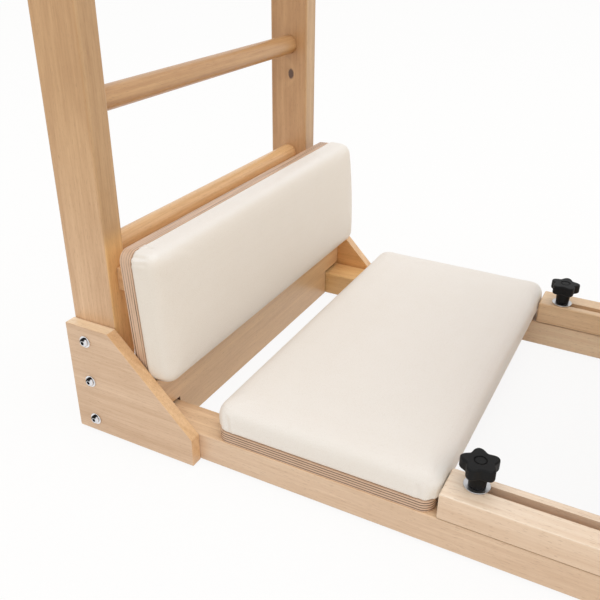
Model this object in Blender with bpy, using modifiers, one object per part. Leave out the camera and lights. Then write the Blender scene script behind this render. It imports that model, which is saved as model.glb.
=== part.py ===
"""Ladder barrel for floor and back exercises.

A rung ladder with a leaning back pad stands at one end of two base rails. A padded barrel rides on
two slotted beams that slide along the rails and are clamped by star knobs, and a padded deck lies
on the rails between the two. Metres, +Z up, +X from the ladder to the barrel, +Y to the left.
"""
import math

import bmesh
import bpy
from mathutils import Matrix, Vector

# Fits
GAP = 0.0003               # clearance that seated pieces keep
SLIDE_CLEARANCE = 0.0013   # side play of what runs between the base rails
PIN_CLEARANCE = 0.0003     # radial clearance of rods in their holes
COVER_CLEARANCE = 0.0007   # between the barrel's bent shell and its cushion

# Base
BASE_WIDTH = 0.700         # across the outer faces of the gussets
RAIL_WIDTH = 0.060
RAIL_HEIGHT = 0.048
RAIL_EDGE = 0.003
FOOT_LENGTH = 0.050
FOOT_WIDTH = 0.032
FOOT_HEIGHT = 0.004
FOOT_INSET = 0.030         # from a rail's end to the foot
END_BOARD_THICKNESS = 0.022
END_BOARD_INSET = 0.024    # from the rails' far end to the board

# Ladder
POST_DEPTH = 0.080
POST_WIDTH = 0.040
POST_EDGE = 0.004
POST_TOP_RADIUS = 0.026
RUNG_DIAMETER = 0.036
RUNG_COUNT = 4
FIRST_RUNG_HEIGHT = 0.298  # above the underside of the rails
RUNG_PITCH = 0.219
RUNG_SEAT_DEPTH = 0.022    # blind hole in the post
POST_ABOVE_RUNG = 0.045    # from the top rung's centre to the top of the post

# Gussets
GUSSET_THICKNESS = 0.020
GUSSET_HEIGHT = 0.193
GUSSET_LENGTH = 0.224
GUSSET_TOP_LENGTH = 0.081
GUSSET_EDGE = 0.0015
GUSSET_BOLT_X = 0.036      # from the ladder's back
GUSSET_BOLT_DROP = 0.025   # from the gusset's top to its first bolt
GUSSET_BOLT_PITCH = 0.072
GUSSET_BOLT_COUNT = 3

# Bolts
BOLT_SHANK_RADIUS = 0.004
BOLT_HEAD_RADIUS = 0.0068
BOLT_HEAD_HEIGHT = 0.0044
BOLT_RIM_SHARE = 0.35      # of the head's height, its straight rim
BOLT_DOME_STEPS = 2
BOLT_SOCKET_RADIUS = 0.0030
BOLT_SOCKET_DEPTH = 0.0026
GUSSET_BOLT_BITE = 0.028   # how far the bolt enters the post or the rail
WASHER_RADIUS = 0.009
WASHER_THICKNESS = 0.0015

# Cross board
CROSS_BOARD_FRONT = 0.144  # from the ladder's back to the board's front face
CROSS_BOARD_THICKNESS = 0.020
CROSS_BOARD_TOP = 0.113    # above the underside of the rails
CROSS_BOARD_LIFT = 0.0033  # slit between its shoulders and the rails
CROSS_BOARD_PLAY = 0.0009  # slit between its sides and the rails
CROSS_BOARD_CORNER = 0.012
BOARD_EDGE = 0.0015

# Back pad
PLY_THICKNESS = 0.018
BACK_PLY_THICKNESS = 0.0195
PAD_END_INSET = 0.0017     # from a rail's outer face to the pads' boards
PAD_CORNER = 0.018
BACK_PAD_HEIGHT = 0.2106
BACK_PAD_LEAN = math.radians(3.65)
BACK_PAD_FOOT = 0.1152     # from the ladder's back to the board's lower back edge
BATTEN_HEIGHT = 0.037
BATTEN_TOP = 0.287         # above the underside of the rails
BATTEN_END_INSET = 0.018   # from a post's outer face to the batten's end

# Cushions
CUSHION_WALL = 0.046       # height of the cushion at its rolled edge
CUSHION_CROWN = 0.003      # how much higher its middle is
CUSHION_ROLL = 0.021       # radius of the rolled edge
CUSHION_PROUD = 0.002      # how far its side swells past the board
CUSHION_CORNER = 0.026
CUSHION_LEAST_CORNER = 0.006
CUSHION_DRAWN_IN = 0.0035  # how far the cover is drawn in at the board
CUSHION_FULLEST = 0.55     # share of the straight side at which it swells fullest
CUSHION_TOP_SHARE = 0.85   # share of the half width that the top's rings cover
CORNER_STEPS = 4
ROLL_STEPS = 4
CROWN_STEPS = 3
PAD_STEPS = 8              # steps along a pad's long side

# Deck
DECK_START = 0.254         # from the ladder's back to the deck board
DECK_LENGTH = 0.337
DECK_TO_BEAM = 0.007
DECK_CUSHION_BACK = 0.004      # past the board on the ladder's side
DECK_CUSHION_FRONT = 0.005     # past the board on the barrel's side
CLEAT_INSET = 0.035
CLEAT_WIDTH = 0.022
CLEAT_HEIGHT = 0.030

# Slotted beams and clamps
BEAM_HEIGHT = 0.041
BEAM_EDGE = 0.003
BEAM_END_INSET = 0.018     # from the rails' far end to the beam's end
SLOT_WIDTH = 0.015
SLOT_LENGTH = 0.220
SLOT_END_SHARE = 0.999     # of half the width, so that no two outline points meet
SLOT_FROM_OUTSIDE = 0.040  # from the beam's outer face to the slot's centre line
STUD_FROM_BEAM_END = 0.0390
STUD_RADIUS = 0.005
STUD_BITE = 0.036          # how far the stud enters the rail
STUD_IN_KNOB = 0.024
CLAMP_WASHER_RADIUS = 0.018
CLAMP_WASHER_THICKNESS = 0.002
KNOB_HEIGHT = 0.040
KNOB_HEAD_HEIGHT = 0.0175
KNOB_TIP_RADIUS = 0.0268
KNOB_VALLEY_RADIUS = 0.0196
KNOB_LOBES = 5
KNOB_LOBE_SHARPNESS = 0.9
KNOB_LOBE_STEPS = 8
KNOB_EDGE = 0.0022
KNOB_HUB_TOP_RADIUS = 0.0138
KNOB_HUB_FOOT_RADIUS = 0.0118
KNOB_RECESS_RADIUS = 0.0088
KNOB_RECESS_DEPTH = 0.0018
KNOB_BORE_SPARE = 0.004    # bore left above the stud
KNOB_TURNS = {"right": math.radians(38), "left": math.radians(17)}

# Barrel
LADDER_TO_BARREL = 1.090   # from the ladder's back to the barrel's axis
BARREL_AXIS_HEIGHT = 0.556 # above the underside of the rails
SIDE_RADIUS = 0.310
SIDE_THICKNESS = 0.022
SIDE_EDGE = 0.002
SIDE_FOOT_LENGTH = 0.480
SIDE_KEEL = 0.028          # how far the side reaches below the beam
SIDE_KEEL_CORNER = 0.012
ROUND_WINDOW_RADIUS = 0.170
LOWER_WINDOW_WALL = 0.085  # side left beside the lower window
LOWER_WINDOW_BOTTOM = 0.146
LOWER_WINDOW_TOP = 0.331
LOWER_WINDOW_CORNER = 0.045
SHELL_THICKNESS = 0.008
SHELL_SKIRT = 0.080        # straight part below the bent arc
BARREL_PAD_THICKNESS = 0.042
BARREL_PAD_CROWN = 0.003
BARREL_BATTEN_WIDTH = 0.045
BARREL_BATTEN_THICKNESS = 0.022
BARREL_BATTEN_COUNT = 5
BARREL_BATTEN_MARGIN = 0.006
STRETCHER_THICKNESS = 0.022
STRETCHER_HEIGHT = 0.044
STRETCHER_SPREAD = 0.390
STRETCHER_LIFT = 0.004     # above the beams
SIDE_BOLT_SPREAD = 0.340
SIDE_BOLT_BITE = 0.017     # how far the bolt enters the side

# Roundness
ROD_SIDES = 28
HOLE_SIDES = 16
BOLT_SIDES = 14
HUB_SIDES = 20
SOCKET_SIDES = 6
ARC_STEPS = 44
WINDOW_STEPS = 40
FILLET_STEPS = 5

# Places worked out from the sizes above
RAIL_BOTTOM = FOOT_HEIGHT + GAP
RAIL_TOP = RAIL_BOTTOM + RAIL_HEIGHT
RAIL_OUTER = BASE_WIDTH / 2 - GUSSET_THICKNESS - GAP
RAIL_INNER = RAIL_OUTER - RAIL_WIDTH
CLEAR_INSIDE = RAIL_INNER - SLIDE_CLEARANCE
PAD_LENGTH = 2 * (RAIL_OUTER - PAD_END_INSET)
BEAM_BOTTOM = RAIL_TOP + GAP
BEAM_TOP = BEAM_BOTTOM + BEAM_HEIGHT
BEAM_INNER = CLEAR_INSIDE + GAP
BARREL_OUTER_RADIUS = SIDE_RADIUS + GAP + SHELL_THICKNESS + COVER_CLEARANCE + BARREL_PAD_THICKNESS
RAIL_LENGTH = LADDER_TO_BARREL + BARREL_OUTER_RADIUS
LADDER_BACK = -RAIL_LENGTH / 2
FAR_END = RAIL_LENGTH / 2
RUNG_X = LADDER_BACK + POST_DEPTH / 2
DECK_X = LADDER_BACK + DECK_START
BEAM_X = DECK_X + DECK_LENGTH + DECK_TO_BEAM
STUD_X = BEAM_X + STUD_FROM_BEAM_END
STUD_Y = RAIL_OUTER - SLOT_FROM_OUTSIDE
BARREL_X = LADDER_BACK + LADDER_TO_BARREL
BARREL_Z = RAIL_BOTTOM + BARREL_AXIS_HEIGHT
CROSS_TOP_Z = RAIL_BOTTOM + CROSS_BOARD_TOP
KNOB_Z = BEAM_TOP + GAP + CLAMP_WASHER_THICKNESS + GAP

SIDES = {"right": -1, "left": 1}

# Finishes: colour, roughness, metallic
BEECH = ((0.74, 0.50, 0.29), 0.45, 0.0)
PLYWOOD = ((0.62, 0.40, 0.22), 0.50, 0.0)
VINYL = ((0.84, 0.79, 0.69), 0.42, 0.0)
CHROME = ((0.80, 0.80, 0.80), 0.18, 1.0)
STEEL = ((0.56, 0.57, 0.58), 0.30, 1.0)
BLACK_PLASTIC = ((0.012, 0.012, 0.013), 0.42, 0.0)
RUBBER = ((0.03, 0.03, 0.03), 0.80, 0.0)


def clear_scene():
    """Remove every object of the open file."""
    for obj in list(bpy.data.objects):
        bpy.data.objects.remove(obj, do_unlink=True)


def new_collection(name):
    """A collection linked to the scene."""
    collection = bpy.data.collections.new(name)
    bpy.context.scene.collection.children.link(collection)
    return collection


clear_scene()
PARTS = new_collection("ladder_barrel")
CUTTERS = new_collection("cutters")


def move_to(obj, collection):
    """Link an object to one collection only."""
    for other in list(obj.users_collection):
        other.objects.unlink(obj)
    collection.objects.link(obj)


def dress(obj, look):
    """Give an object its own Principled material."""
    colour, roughness, metallic = look
    material = bpy.data.materials.new(obj.name)
    material.use_nodes = True
    shader = material.node_tree.nodes["Principled BSDF"]
    shader.inputs["Base Color"].default_value = (*colour, 1.0)
    shader.inputs["Roughness"].default_value = roughness
    shader.inputs["Metallic"].default_value = metallic
    obj.data.materials.clear()
    obj.data.materials.append(material)


def finish(obj, name, look):
    """Name a finished piece, dress it and put it among the parts."""
    obj.name = name
    obj.data.name = name
    move_to(obj, PARTS)
    dress(obj, look)
    return obj


def as_cutter(obj, name):
    """Mark an object as a tool for Boolean modifiers."""
    obj.name = name
    obj.hide_render = True
    obj.display_type = "WIRE"
    move_to(obj, CUTTERS)
    return obj


def round_edges(obj, width, segments=1, angle=40):
    """Round the edges that are sharper than an angle in degrees."""
    bevel = obj.modifiers.new("rounded edges", "BEVEL")
    bevel.width = width
    bevel.segments = segments
    bevel.limit_method = "ANGLE"
    bevel.angle_limit = math.radians(angle)


def combine(obj, tool, operation="DIFFERENCE"):
    """Cut a piece by a tool, or join the tool to it."""
    boolean = obj.modifiers.new(tool.name, "BOOLEAN")
    boolean.operation = operation
    boolean.solver = "EXACT"
    boolean.object = tool


def smooth(obj, angle=35):
    """Shade the round faces smooth."""
    obj.data.shade_smooth()
    obj.data.set_sharp_from_angle(angle=math.radians(angle))


def block(name, size, centre, look, edge=0.0, rotation=(0, 0, 0), segments=1):
    """A rectangular piece of a size, around its centre."""
    bpy.ops.mesh.primitive_cube_add(size=1, location=centre, rotation=rotation)
    obj = bpy.context.object
    obj.scale = size
    bpy.ops.object.transform_apply(location=False, rotation=False, scale=True)
    if edge:
        round_edges(obj, edge, segments)
    return finish(obj, name, look)


def rod(name, radius, length, centre, rotation, look, sides=ROD_SIDES, edge=0.0):
    """A round piece along its own Z axis."""
    bpy.ops.mesh.primitive_cylinder_add(vertices=sides, radius=radius, depth=length,
                                        location=centre, rotation=rotation)
    obj = bpy.context.object
    if edge:
        round_edges(obj, edge, 1, 60)
    smooth(obj)
    return finish(obj, name, look)


def drill(name, radius, length, centre, rotation, sides=HOLE_SIDES):
    """A round cutter along its own Z axis."""
    bpy.ops.mesh.primitive_cylinder_add(vertices=sides, radius=radius, depth=length,
                                        location=centre, rotation=rotation)
    return as_cutter(bpy.context.object, name)


def plate_mesh(name, outlines, thickness):
    """A mesh plate from flat closed outlines, the first outside and the others as windows."""
    curve = bpy.data.curves.new(name, "CURVE")
    curve.dimensions = "2D"
    curve.fill_mode = "BOTH"
    curve.extrude = thickness / 2
    for outline in outlines:
        spline = curve.splines.new("POLY")
        spline.points.add(len(outline) - 1)
        for point, (x, y) in zip(spline.points, outline):
            point.co = (x, y, 0, 1)
        spline.use_cyclic_u = True
    guide = bpy.data.objects.new(name, curve)
    PARTS.objects.link(guide)
    graph = bpy.context.evaluated_depsgraph_get()
    mesh = bpy.data.meshes.new_from_object(guide.evaluated_get(graph))
    bpy.data.objects.remove(guide)
    work = bmesh.new()
    work.from_mesh(mesh)
    bmesh.ops.remove_doubles(work, verts=work.verts, dist=0.00001)
    bmesh.ops.recalc_face_normals(work, faces=work.faces)
    work.to_mesh(mesh)
    work.free()
    return mesh


def plate(name, outlines, thickness, centre, rotation, look, edge=0.0, segments=1):
    """A flat piece cut from board, its outline in its own XY plane."""
    obj = bpy.data.objects.new(name, plate_mesh(name, outlines, thickness))
    PARTS.objects.link(obj)
    obj.location = centre
    obj.rotation_euler = rotation
    if edge:
        round_edges(obj, edge, segments, 50)
    smooth(obj, 30)
    return finish(obj, name, look)


def turned_mesh(name, profile, closed=False):
    """A mesh line of radius and height pairs, for a Screw modifier."""
    mesh = bpy.data.meshes.new(name)
    count = len(profile)
    edges = [(i, i + 1) for i in range(count - 1)]
    if closed:
        edges.append((count - 1, 0))
    mesh.from_pydata([(radius, 0, z) for radius, z in profile], edges, [])
    return mesh


def turned(name, profile, centre, rotation, look, steps=BOLT_SIDES, closed=False):
    """A turned piece around its own Z axis, its profile given top to bottom."""
    obj = bpy.data.objects.new(name, turned_mesh(name, profile, closed))
    PARTS.objects.link(obj)
    obj.location = centre
    obj.rotation_euler = rotation
    screw = obj.modifiers.new("turned", "SCREW")
    screw.steps = steps
    screw.render_steps = steps
    screw.use_merge_vertices = True
    screw.merge_threshold = 0.00001
    screw.use_smooth_shade = True
    return finish(obj, name, look)


def arc(centre, radius, start, end, steps):
    """Points on an arc, angles in radians."""
    step = (end - start) / steps
    return [(centre[0] + radius * math.cos(start + i * step),
             centre[1] + radius * math.sin(start + i * step)) for i in range(steps + 1)]


def rounded(corners, steps=FILLET_STEPS):
    """A closed outline of (x, y, radius) corners, each rounded by its radius."""
    points = []
    count = len(corners)
    for i, (x, y, radius) in enumerate(corners):
        here = Vector((x, y))
        before = Vector(corners[i - 1][:2])
        after = Vector(corners[(i + 1) % count][:2])
        if radius <= 0:
            points.append((x, y))
            continue
        back = (before - here).normalized()
        ahead = (after - here).normalized()
        half = back.angle(ahead) / 2
        reach = radius / math.tan(half)
        middle = here + (back + ahead).normalized() * (radius / math.sin(half))
        first = here + back * reach - middle
        last = here + ahead * reach - middle
        turn = first.angle_signed(last)
        start = math.atan2(first.y, first.x)
        points += arc(middle, radius, start, start - turn, steps)
    return points


def hold(parent, pieces):
    """Parent pieces to an empty and keep their places."""
    for obj in pieces:
        obj.parent = parent
        obj.matrix_parent_inverse = Matrix.Translation(parent.location).inverted()


def carrier(name, location):
    """An empty on the axis of a joint."""
    empty = bpy.data.objects.new(name, None)
    empty.empty_display_size = 0.05
    empty.location = location
    PARTS.objects.link(empty)
    return empty


# Directions of pieces that point across the object
OUTWARD = {-1: (math.pi / 2, 0, 0), 1: (-math.pi / 2, 0, 0)}
STANDING = (math.pi / 2, 0, 0)         # outline in X and Z
FACING_X = (math.pi / 2, 0, math.pi / 2)  # outline in Y and Z


def build_rails():
    """Two base rails with the holes for the studs and the lowest gusset bolts."""
    rails = {}
    for side, sign in SIDES.items():
        y = sign * (RAIL_OUTER + RAIL_INNER) / 2
        centre = (0, y, RAIL_BOTTOM + RAIL_HEIGHT / 2)
        rail = block(f"base_rail_{side}", (RAIL_LENGTH, RAIL_WIDTH, RAIL_HEIGHT), centre, BEECH,
                     RAIL_EDGE, segments=2)
        hole = drill(f"stud_hole_{side}", STUD_RADIUS + PIN_CLEARANCE, 2 * (STUD_BITE + GAP),
                     (STUD_X, sign * STUD_Y, RAIL_TOP), (0, 0, 0))
        combine(rail, hole)
        rails[side] = rail
        for index, x in enumerate((LADDER_BACK + FOOT_INSET + FOOT_LENGTH / 2,
                                   FAR_END - FOOT_INSET - FOOT_LENGTH / 2), 1):
            block(f"rubber_foot_{side}_{index}", (FOOT_LENGTH, FOOT_WIDTH, FOOT_HEIGHT),
                  (x, y, FOOT_HEIGHT / 2), RUBBER, FOOT_HEIGHT / 5)
    block("end_board", (END_BOARD_THICKNESS, 2 * (RAIL_INNER - GAP), RAIL_HEIGHT),
          (FAR_END - END_BOARD_INSET - END_BOARD_THICKNESS / 2, 0, RAIL_BOTTOM + RAIL_HEIGHT / 2),
          BEECH, BOARD_EDGE)
    return rails


def build_ladder():
    """Two posts on the rails and the rungs seated in their blind holes."""
    posts = {}
    bottom = RAIL_TOP + GAP
    rung_heights = [RAIL_BOTTOM + FIRST_RUNG_HEIGHT + i * RUNG_PITCH for i in range(RUNG_COUNT)]
    top = rung_heights[-1] + POST_ABOVE_RUNG
    half = POST_DEPTH / 2
    outline = rounded([(-half, bottom, 0), (half, bottom, 0), (half, top, POST_TOP_RADIUS),
                       (-half, top, POST_TOP_RADIUS)])
    inner = RAIL_OUTER - POST_WIDTH
    for side, sign in SIDES.items():
        post = plate(f"ladder_post_{side}", [outline], POST_WIDTH,
                     (RUNG_X, sign * (RAIL_OUTER - POST_WIDTH / 2), 0), STANDING, BEECH, POST_EDGE)
        for index, z in enumerate(rung_heights, 1):
            seat = drill(f"rung_seat_{side}_{index}", RUNG_DIAMETER / 2 + PIN_CLEARANCE,
                         2 * RUNG_SEAT_DEPTH, (RUNG_X, sign * inner, z), STANDING, ROD_SIDES)
            combine(post, seat)
        posts[side] = post
    length = 2 * (inner + RUNG_SEAT_DEPTH - GAP)
    for index, z in enumerate(rung_heights, 1):
        rod(f"ladder_rung_{index}", RUNG_DIAMETER / 2, length, (RUNG_X, 0, z), STANDING, BEECH)
    return posts


def bolt_profile(shank):
    """Half outline of a dome-headed bolt, its head above the origin."""
    rise = BOLT_HEAD_HEIGHT * (1 - BOLT_RIM_SHARE)
    rim = BOLT_HEAD_HEIGHT - rise
    turns = [math.pi / 2 * i / BOLT_DOME_STEPS for i in range(BOLT_DOME_STEPS + 1)]
    dome = [(BOLT_HEAD_RADIUS * math.sin(turn), rim + rise * math.cos(turn)) for turn in turns]
    return dome + [(BOLT_HEAD_RADIUS, 0), (BOLT_SHANK_RADIUS, 0), (BOLT_SHANK_RADIUS, -shank), (0, -shank)]


def bolt(name, shank, seat, sign):
    """A socket bolt across the object, its head seated outside at a point."""
    piece = turned(name, bolt_profile(shank), seat, OUTWARD[sign], CHROME)
    depth = 2 * BOLT_SOCKET_DEPTH
    tip = Vector(seat) + Vector((0, sign * BOLT_HEAD_HEIGHT, 0))
    combine(piece, drill(f"{name}_socket", BOLT_SOCKET_RADIUS, depth, tip, STANDING, SOCKET_SIDES))
    return piece


def build_gussets(posts, rails):
    """Side plates that tie each post to its rail, with their bolts and washers."""
    outline = [(0, 0), (GUSSET_LENGTH, 0), (GUSSET_LENGTH, RAIL_HEIGHT),
               (GUSSET_TOP_LENGTH, GUSSET_HEIGHT), (0, GUSSET_HEIGHT)]
    face = BASE_WIDTH / 2
    x = LADDER_BACK + GUSSET_BOLT_X
    shank = WASHER_THICKNESS + 2 * GAP + GUSSET_THICKNESS + GAP + GUSSET_BOLT_BITE
    ring = [(WASHER_RADIUS, WASHER_THICKNESS), (WASHER_RADIUS, 0),
            (BOLT_SHANK_RADIUS + PIN_CLEARANCE, 0), (BOLT_SHANK_RADIUS + PIN_CLEARANCE, WASHER_THICKNESS)]
    for side, sign in SIDES.items():
        gusset = plate(f"gusset_{side}", [outline], GUSSET_THICKNESS,
                       (LADDER_BACK, sign * (face - GUSSET_THICKNESS / 2), RAIL_BOTTOM), STANDING,
                       BEECH, GUSSET_EDGE)
        for index in range(GUSSET_BOLT_COUNT):
            z = RAIL_BOTTOM + GUSSET_HEIGHT - GUSSET_BOLT_DROP - index * GUSSET_BOLT_PITCH
            name = f"gusset_bolt_{side}_{index + 1}"
            washer_y = sign * (face + GAP)
            turned(f"gusset_washer_{side}_{index + 1}", ring, (x, washer_y, z), OUTWARD[sign],
                   STEEL, closed=True)
            seat = (x, sign * (face + WASHER_THICKNESS + 2 * GAP), z)
            bolt(name, shank, seat, sign)
            hole = drill(f"{name}_hole", BOLT_SHANK_RADIUS + PIN_CLEARANCE, 2 * (shank + GAP), seat,
                         STANDING)
            combine(gusset, hole)
            combine(posts[side] if z > RAIL_TOP else rails[side], hole)


def build_cross_board():
    """The board across the base, notched over the rails, that carries the back pad."""
    low = RAIL_INNER - CROSS_BOARD_PLAY
    wide = RAIL_OUTER
    bottom = RAIL_BOTTOM
    shoulder = RAIL_TOP + CROSS_BOARD_LIFT
    half = [(low, bottom, 0), (low, shoulder, 0), (wide, shoulder, CROSS_BOARD_CORNER),
            (wide, CROSS_TOP_Z, 0)]
    mirrored = [(-y, z, radius) for y, z, radius in reversed(half)]
    plate("cross_board", [rounded(half + mirrored)], CROSS_BOARD_THICKNESS,
          (LADDER_BACK + CROSS_BOARD_FRONT - CROSS_BOARD_THICKNESS / 2, 0, 0), FACING_X, BEECH, BOARD_EDGE)


def cushion_ring(half_x, half_y, corner, long_steps):
    """One closed ring around a cushion, mirrored about its X axis, as (x, y) pairs."""
    corner = min(corner, half_x, half_y)
    edge_y = (half_y - corner) / 3
    near = arc((half_x - corner, half_y - corner), corner, 0, math.pi / 2, CORNER_STEPS)
    far = arc((corner - half_x, half_y - corner), corner, math.pi / 2, math.pi, CORNER_STEPS)
    span = 2 * (half_x - corner)
    side = [(half_x - corner - span * i / long_steps, half_y) for i in range(1, long_steps)]
    upper = [(half_x, edge_y)] + near + side + far + [(-half_x, edge_y)]
    return upper + [(x, -y) for x, y in reversed(upper)]


def cushion_levels(wall, roll, half_x, half_y):
    """(inset, height) pairs from the board over the rolled edge and across the top."""
    straight = wall - roll
    levels = [(CUSHION_DRAWN_IN, 0), (0.0, straight * CUSHION_FULLEST), (0.0, straight)]
    for i in range(1, ROLL_STEPS + 1):
        turn = math.pi / 2 * i / ROLL_STEPS
        levels.append((roll * (1 - math.cos(turn)), straight + roll * math.sin(turn)))
    reach = CUSHION_TOP_SHARE * min(half_x, half_y) - roll
    for i in range(1, CROWN_STEPS + 1):
        levels.append((roll + reach * i / CROWN_STEPS, wall))
    return levels


def crown_share(x, y, top_x, top_y):
    """How much of the crown a point of the top has: none at the rolled edge, all in the middle."""
    return max(0.0, 1 - (x / top_x) ** 4) * max(0.0, 1 - (y / top_y) ** 2)


def cushion(name, half_x, half_y, wall, crown, roll, place, long_steps=PAD_STEPS):
    """An upholstered form: drawn-in foot, swelling side, rolled edge and crowned top."""
    work = bmesh.new()
    rings = []
    for inset, height in cushion_levels(wall, roll, half_x, half_y):
        corner = max(CUSHION_CORNER - inset, CUSHION_LEAST_CORNER)
        ring = []
        for x, y in cushion_ring(half_x - inset, half_y - inset, corner, long_steps):
            rise = crown * crown_share(x, y, half_x - roll, half_y - roll) if inset > roll else 0.0
            ring.append(work.verts.new(place(x, y, height + rise)))
        rings.append(ring)
    count = len(rings[0])
    for lower, upper in zip(rings, rings[1:]):
        for i in range(count):
            j = (i + 1) % count
            work.faces.new((lower[i], lower[j], upper[j], upper[i]))
    for ring in (rings[0], rings[-1]):
        for i in range(count // 2 - 1):
            work.faces.new((ring[i], ring[i + 1], ring[count - 2 - i], ring[count - 1 - i]))
    bmesh.ops.recalc_face_normals(work, faces=work.faces)
    mesh = bpy.data.meshes.new(name)
    work.to_mesh(mesh)
    work.free()
    obj = bpy.data.objects.new(name, mesh)
    PARTS.objects.link(obj)
    smooth(obj, 60)
    return finish(obj, name, VINYL)


def pad_board_outline(half_x, half_y):
    """A rectangle with the pads' rounded corners, about its centre."""
    return rounded([(half_x, half_y, PAD_CORNER), (-half_x, half_y, PAD_CORNER),
                    (-half_x, -half_y, PAD_CORNER), (half_x, -half_y, PAD_CORNER)])


def build_back_pad():
    """The leaning pad, its plywood on the cross board, and the batten behind it."""
    lean = BACK_PAD_LEAN
    up = Vector((-math.sin(lean), 0, math.cos(lean)))
    forward = Vector((math.cos(lean), 0, math.sin(lean)))
    foot = Vector((LADDER_BACK + BACK_PAD_FOOT, 0, CROSS_TOP_Z + GAP))
    middle = foot + up * BACK_PAD_HEIGHT / 2
    board = plate("back_pad_board", [pad_board_outline(PAD_LENGTH / 2, BACK_PAD_HEIGHT / 2)],
                  BACK_PLY_THICKNESS, middle + forward * BACK_PLY_THICKNESS / 2, FACING_X, PLYWOOD,
                  BOARD_EDGE)
    board.rotation_euler = (Matrix.Rotation(-lean, 3, "Y") @ board.rotation_euler.to_matrix()).to_euler()
    pad = cushion("back_pad_cushion", PAD_LENGTH / 2 + CUSHION_PROUD, BACK_PAD_HEIGHT / 2 + CUSHION_PROUD,
                  CUSHION_WALL, CUSHION_CROWN, CUSHION_ROLL, lambda x, y, z: (x, y, z))
    pad.location = middle + forward * (BACK_PLY_THICKNESS + GAP)
    pad.rotation_euler = board.rotation_euler

    post_front = LADDER_BACK + POST_DEPTH + GAP
    top = RAIL_BOTTOM + BATTEN_TOP

    def pad_back(z):
        """X of the pad's back at a height."""
        return foot.x - (z - foot.z) * math.tan(lean) - GAP

    low = top - BATTEN_HEIGHT
    outline = [(post_front, low), (pad_back(low), low), (pad_back(top), top), (post_front, top)]
    plate("pad_batten", [outline], 2 * (RAIL_OUTER - BATTEN_END_INSET), (0, 0, 0), STANDING, BEECH,
          BOARD_EDGE)


def build_deck():
    """The padded board between ladder and barrel, with its guides between the rails."""
    centre_x = DECK_X + DECK_LENGTH / 2
    bottom = RAIL_TOP + GAP
    axis = carrier("deck_slide", (centre_x, 0, bottom))
    board = plate("deck_board", [pad_board_outline(DECK_LENGTH / 2, PAD_LENGTH / 2)], PLY_THICKNESS,
                  (centre_x, 0, bottom + PLY_THICKNESS / 2), (0, 0, 0), PLYWOOD, BOARD_EDGE)
    cushion_length = DECK_LENGTH + DECK_CUSHION_BACK + DECK_CUSHION_FRONT
    pad = cushion("deck_cushion", PAD_LENGTH / 2 + CUSHION_PROUD, cushion_length / 2,
                  CUSHION_WALL, CUSHION_CROWN, CUSHION_ROLL, lambda x, y, z: (x, y, z))
    pad.location = (DECK_X - DECK_CUSHION_BACK + cushion_length / 2, 0, bottom + PLY_THICKNESS + GAP)
    pad.rotation_euler = (0, 0, math.pi / 2)
    pieces = [board, pad]
    for side, sign in SIDES.items():
        size = (DECK_LENGTH - 2 * CLEAT_INSET, CLEAT_WIDTH, CLEAT_HEIGHT)
        place = (centre_x, sign * (CLEAR_INSIDE - CLEAT_WIDTH / 2), bottom - GAP - CLEAT_HEIGHT / 2)
        pieces.append(block(f"deck_cleat_{side}", size, place, BEECH, BOARD_EDGE))
    hold(axis, pieces)


def knob_outline():
    """The lobed outline of a star knob."""
    points = []
    count = KNOB_LOBES * KNOB_LOBE_STEPS
    for i in range(count):
        angle = 2 * math.pi * i / count
        lobe = ((1 + math.cos(KNOB_LOBES * angle)) / 2) ** KNOB_LOBE_SHARPNESS
        radius = KNOB_VALLEY_RADIUS + (KNOB_TIP_RADIUS - KNOB_VALLEY_RADIUS) * lobe
        points.append((radius * math.cos(angle), radius * math.sin(angle)))
    return points


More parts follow.
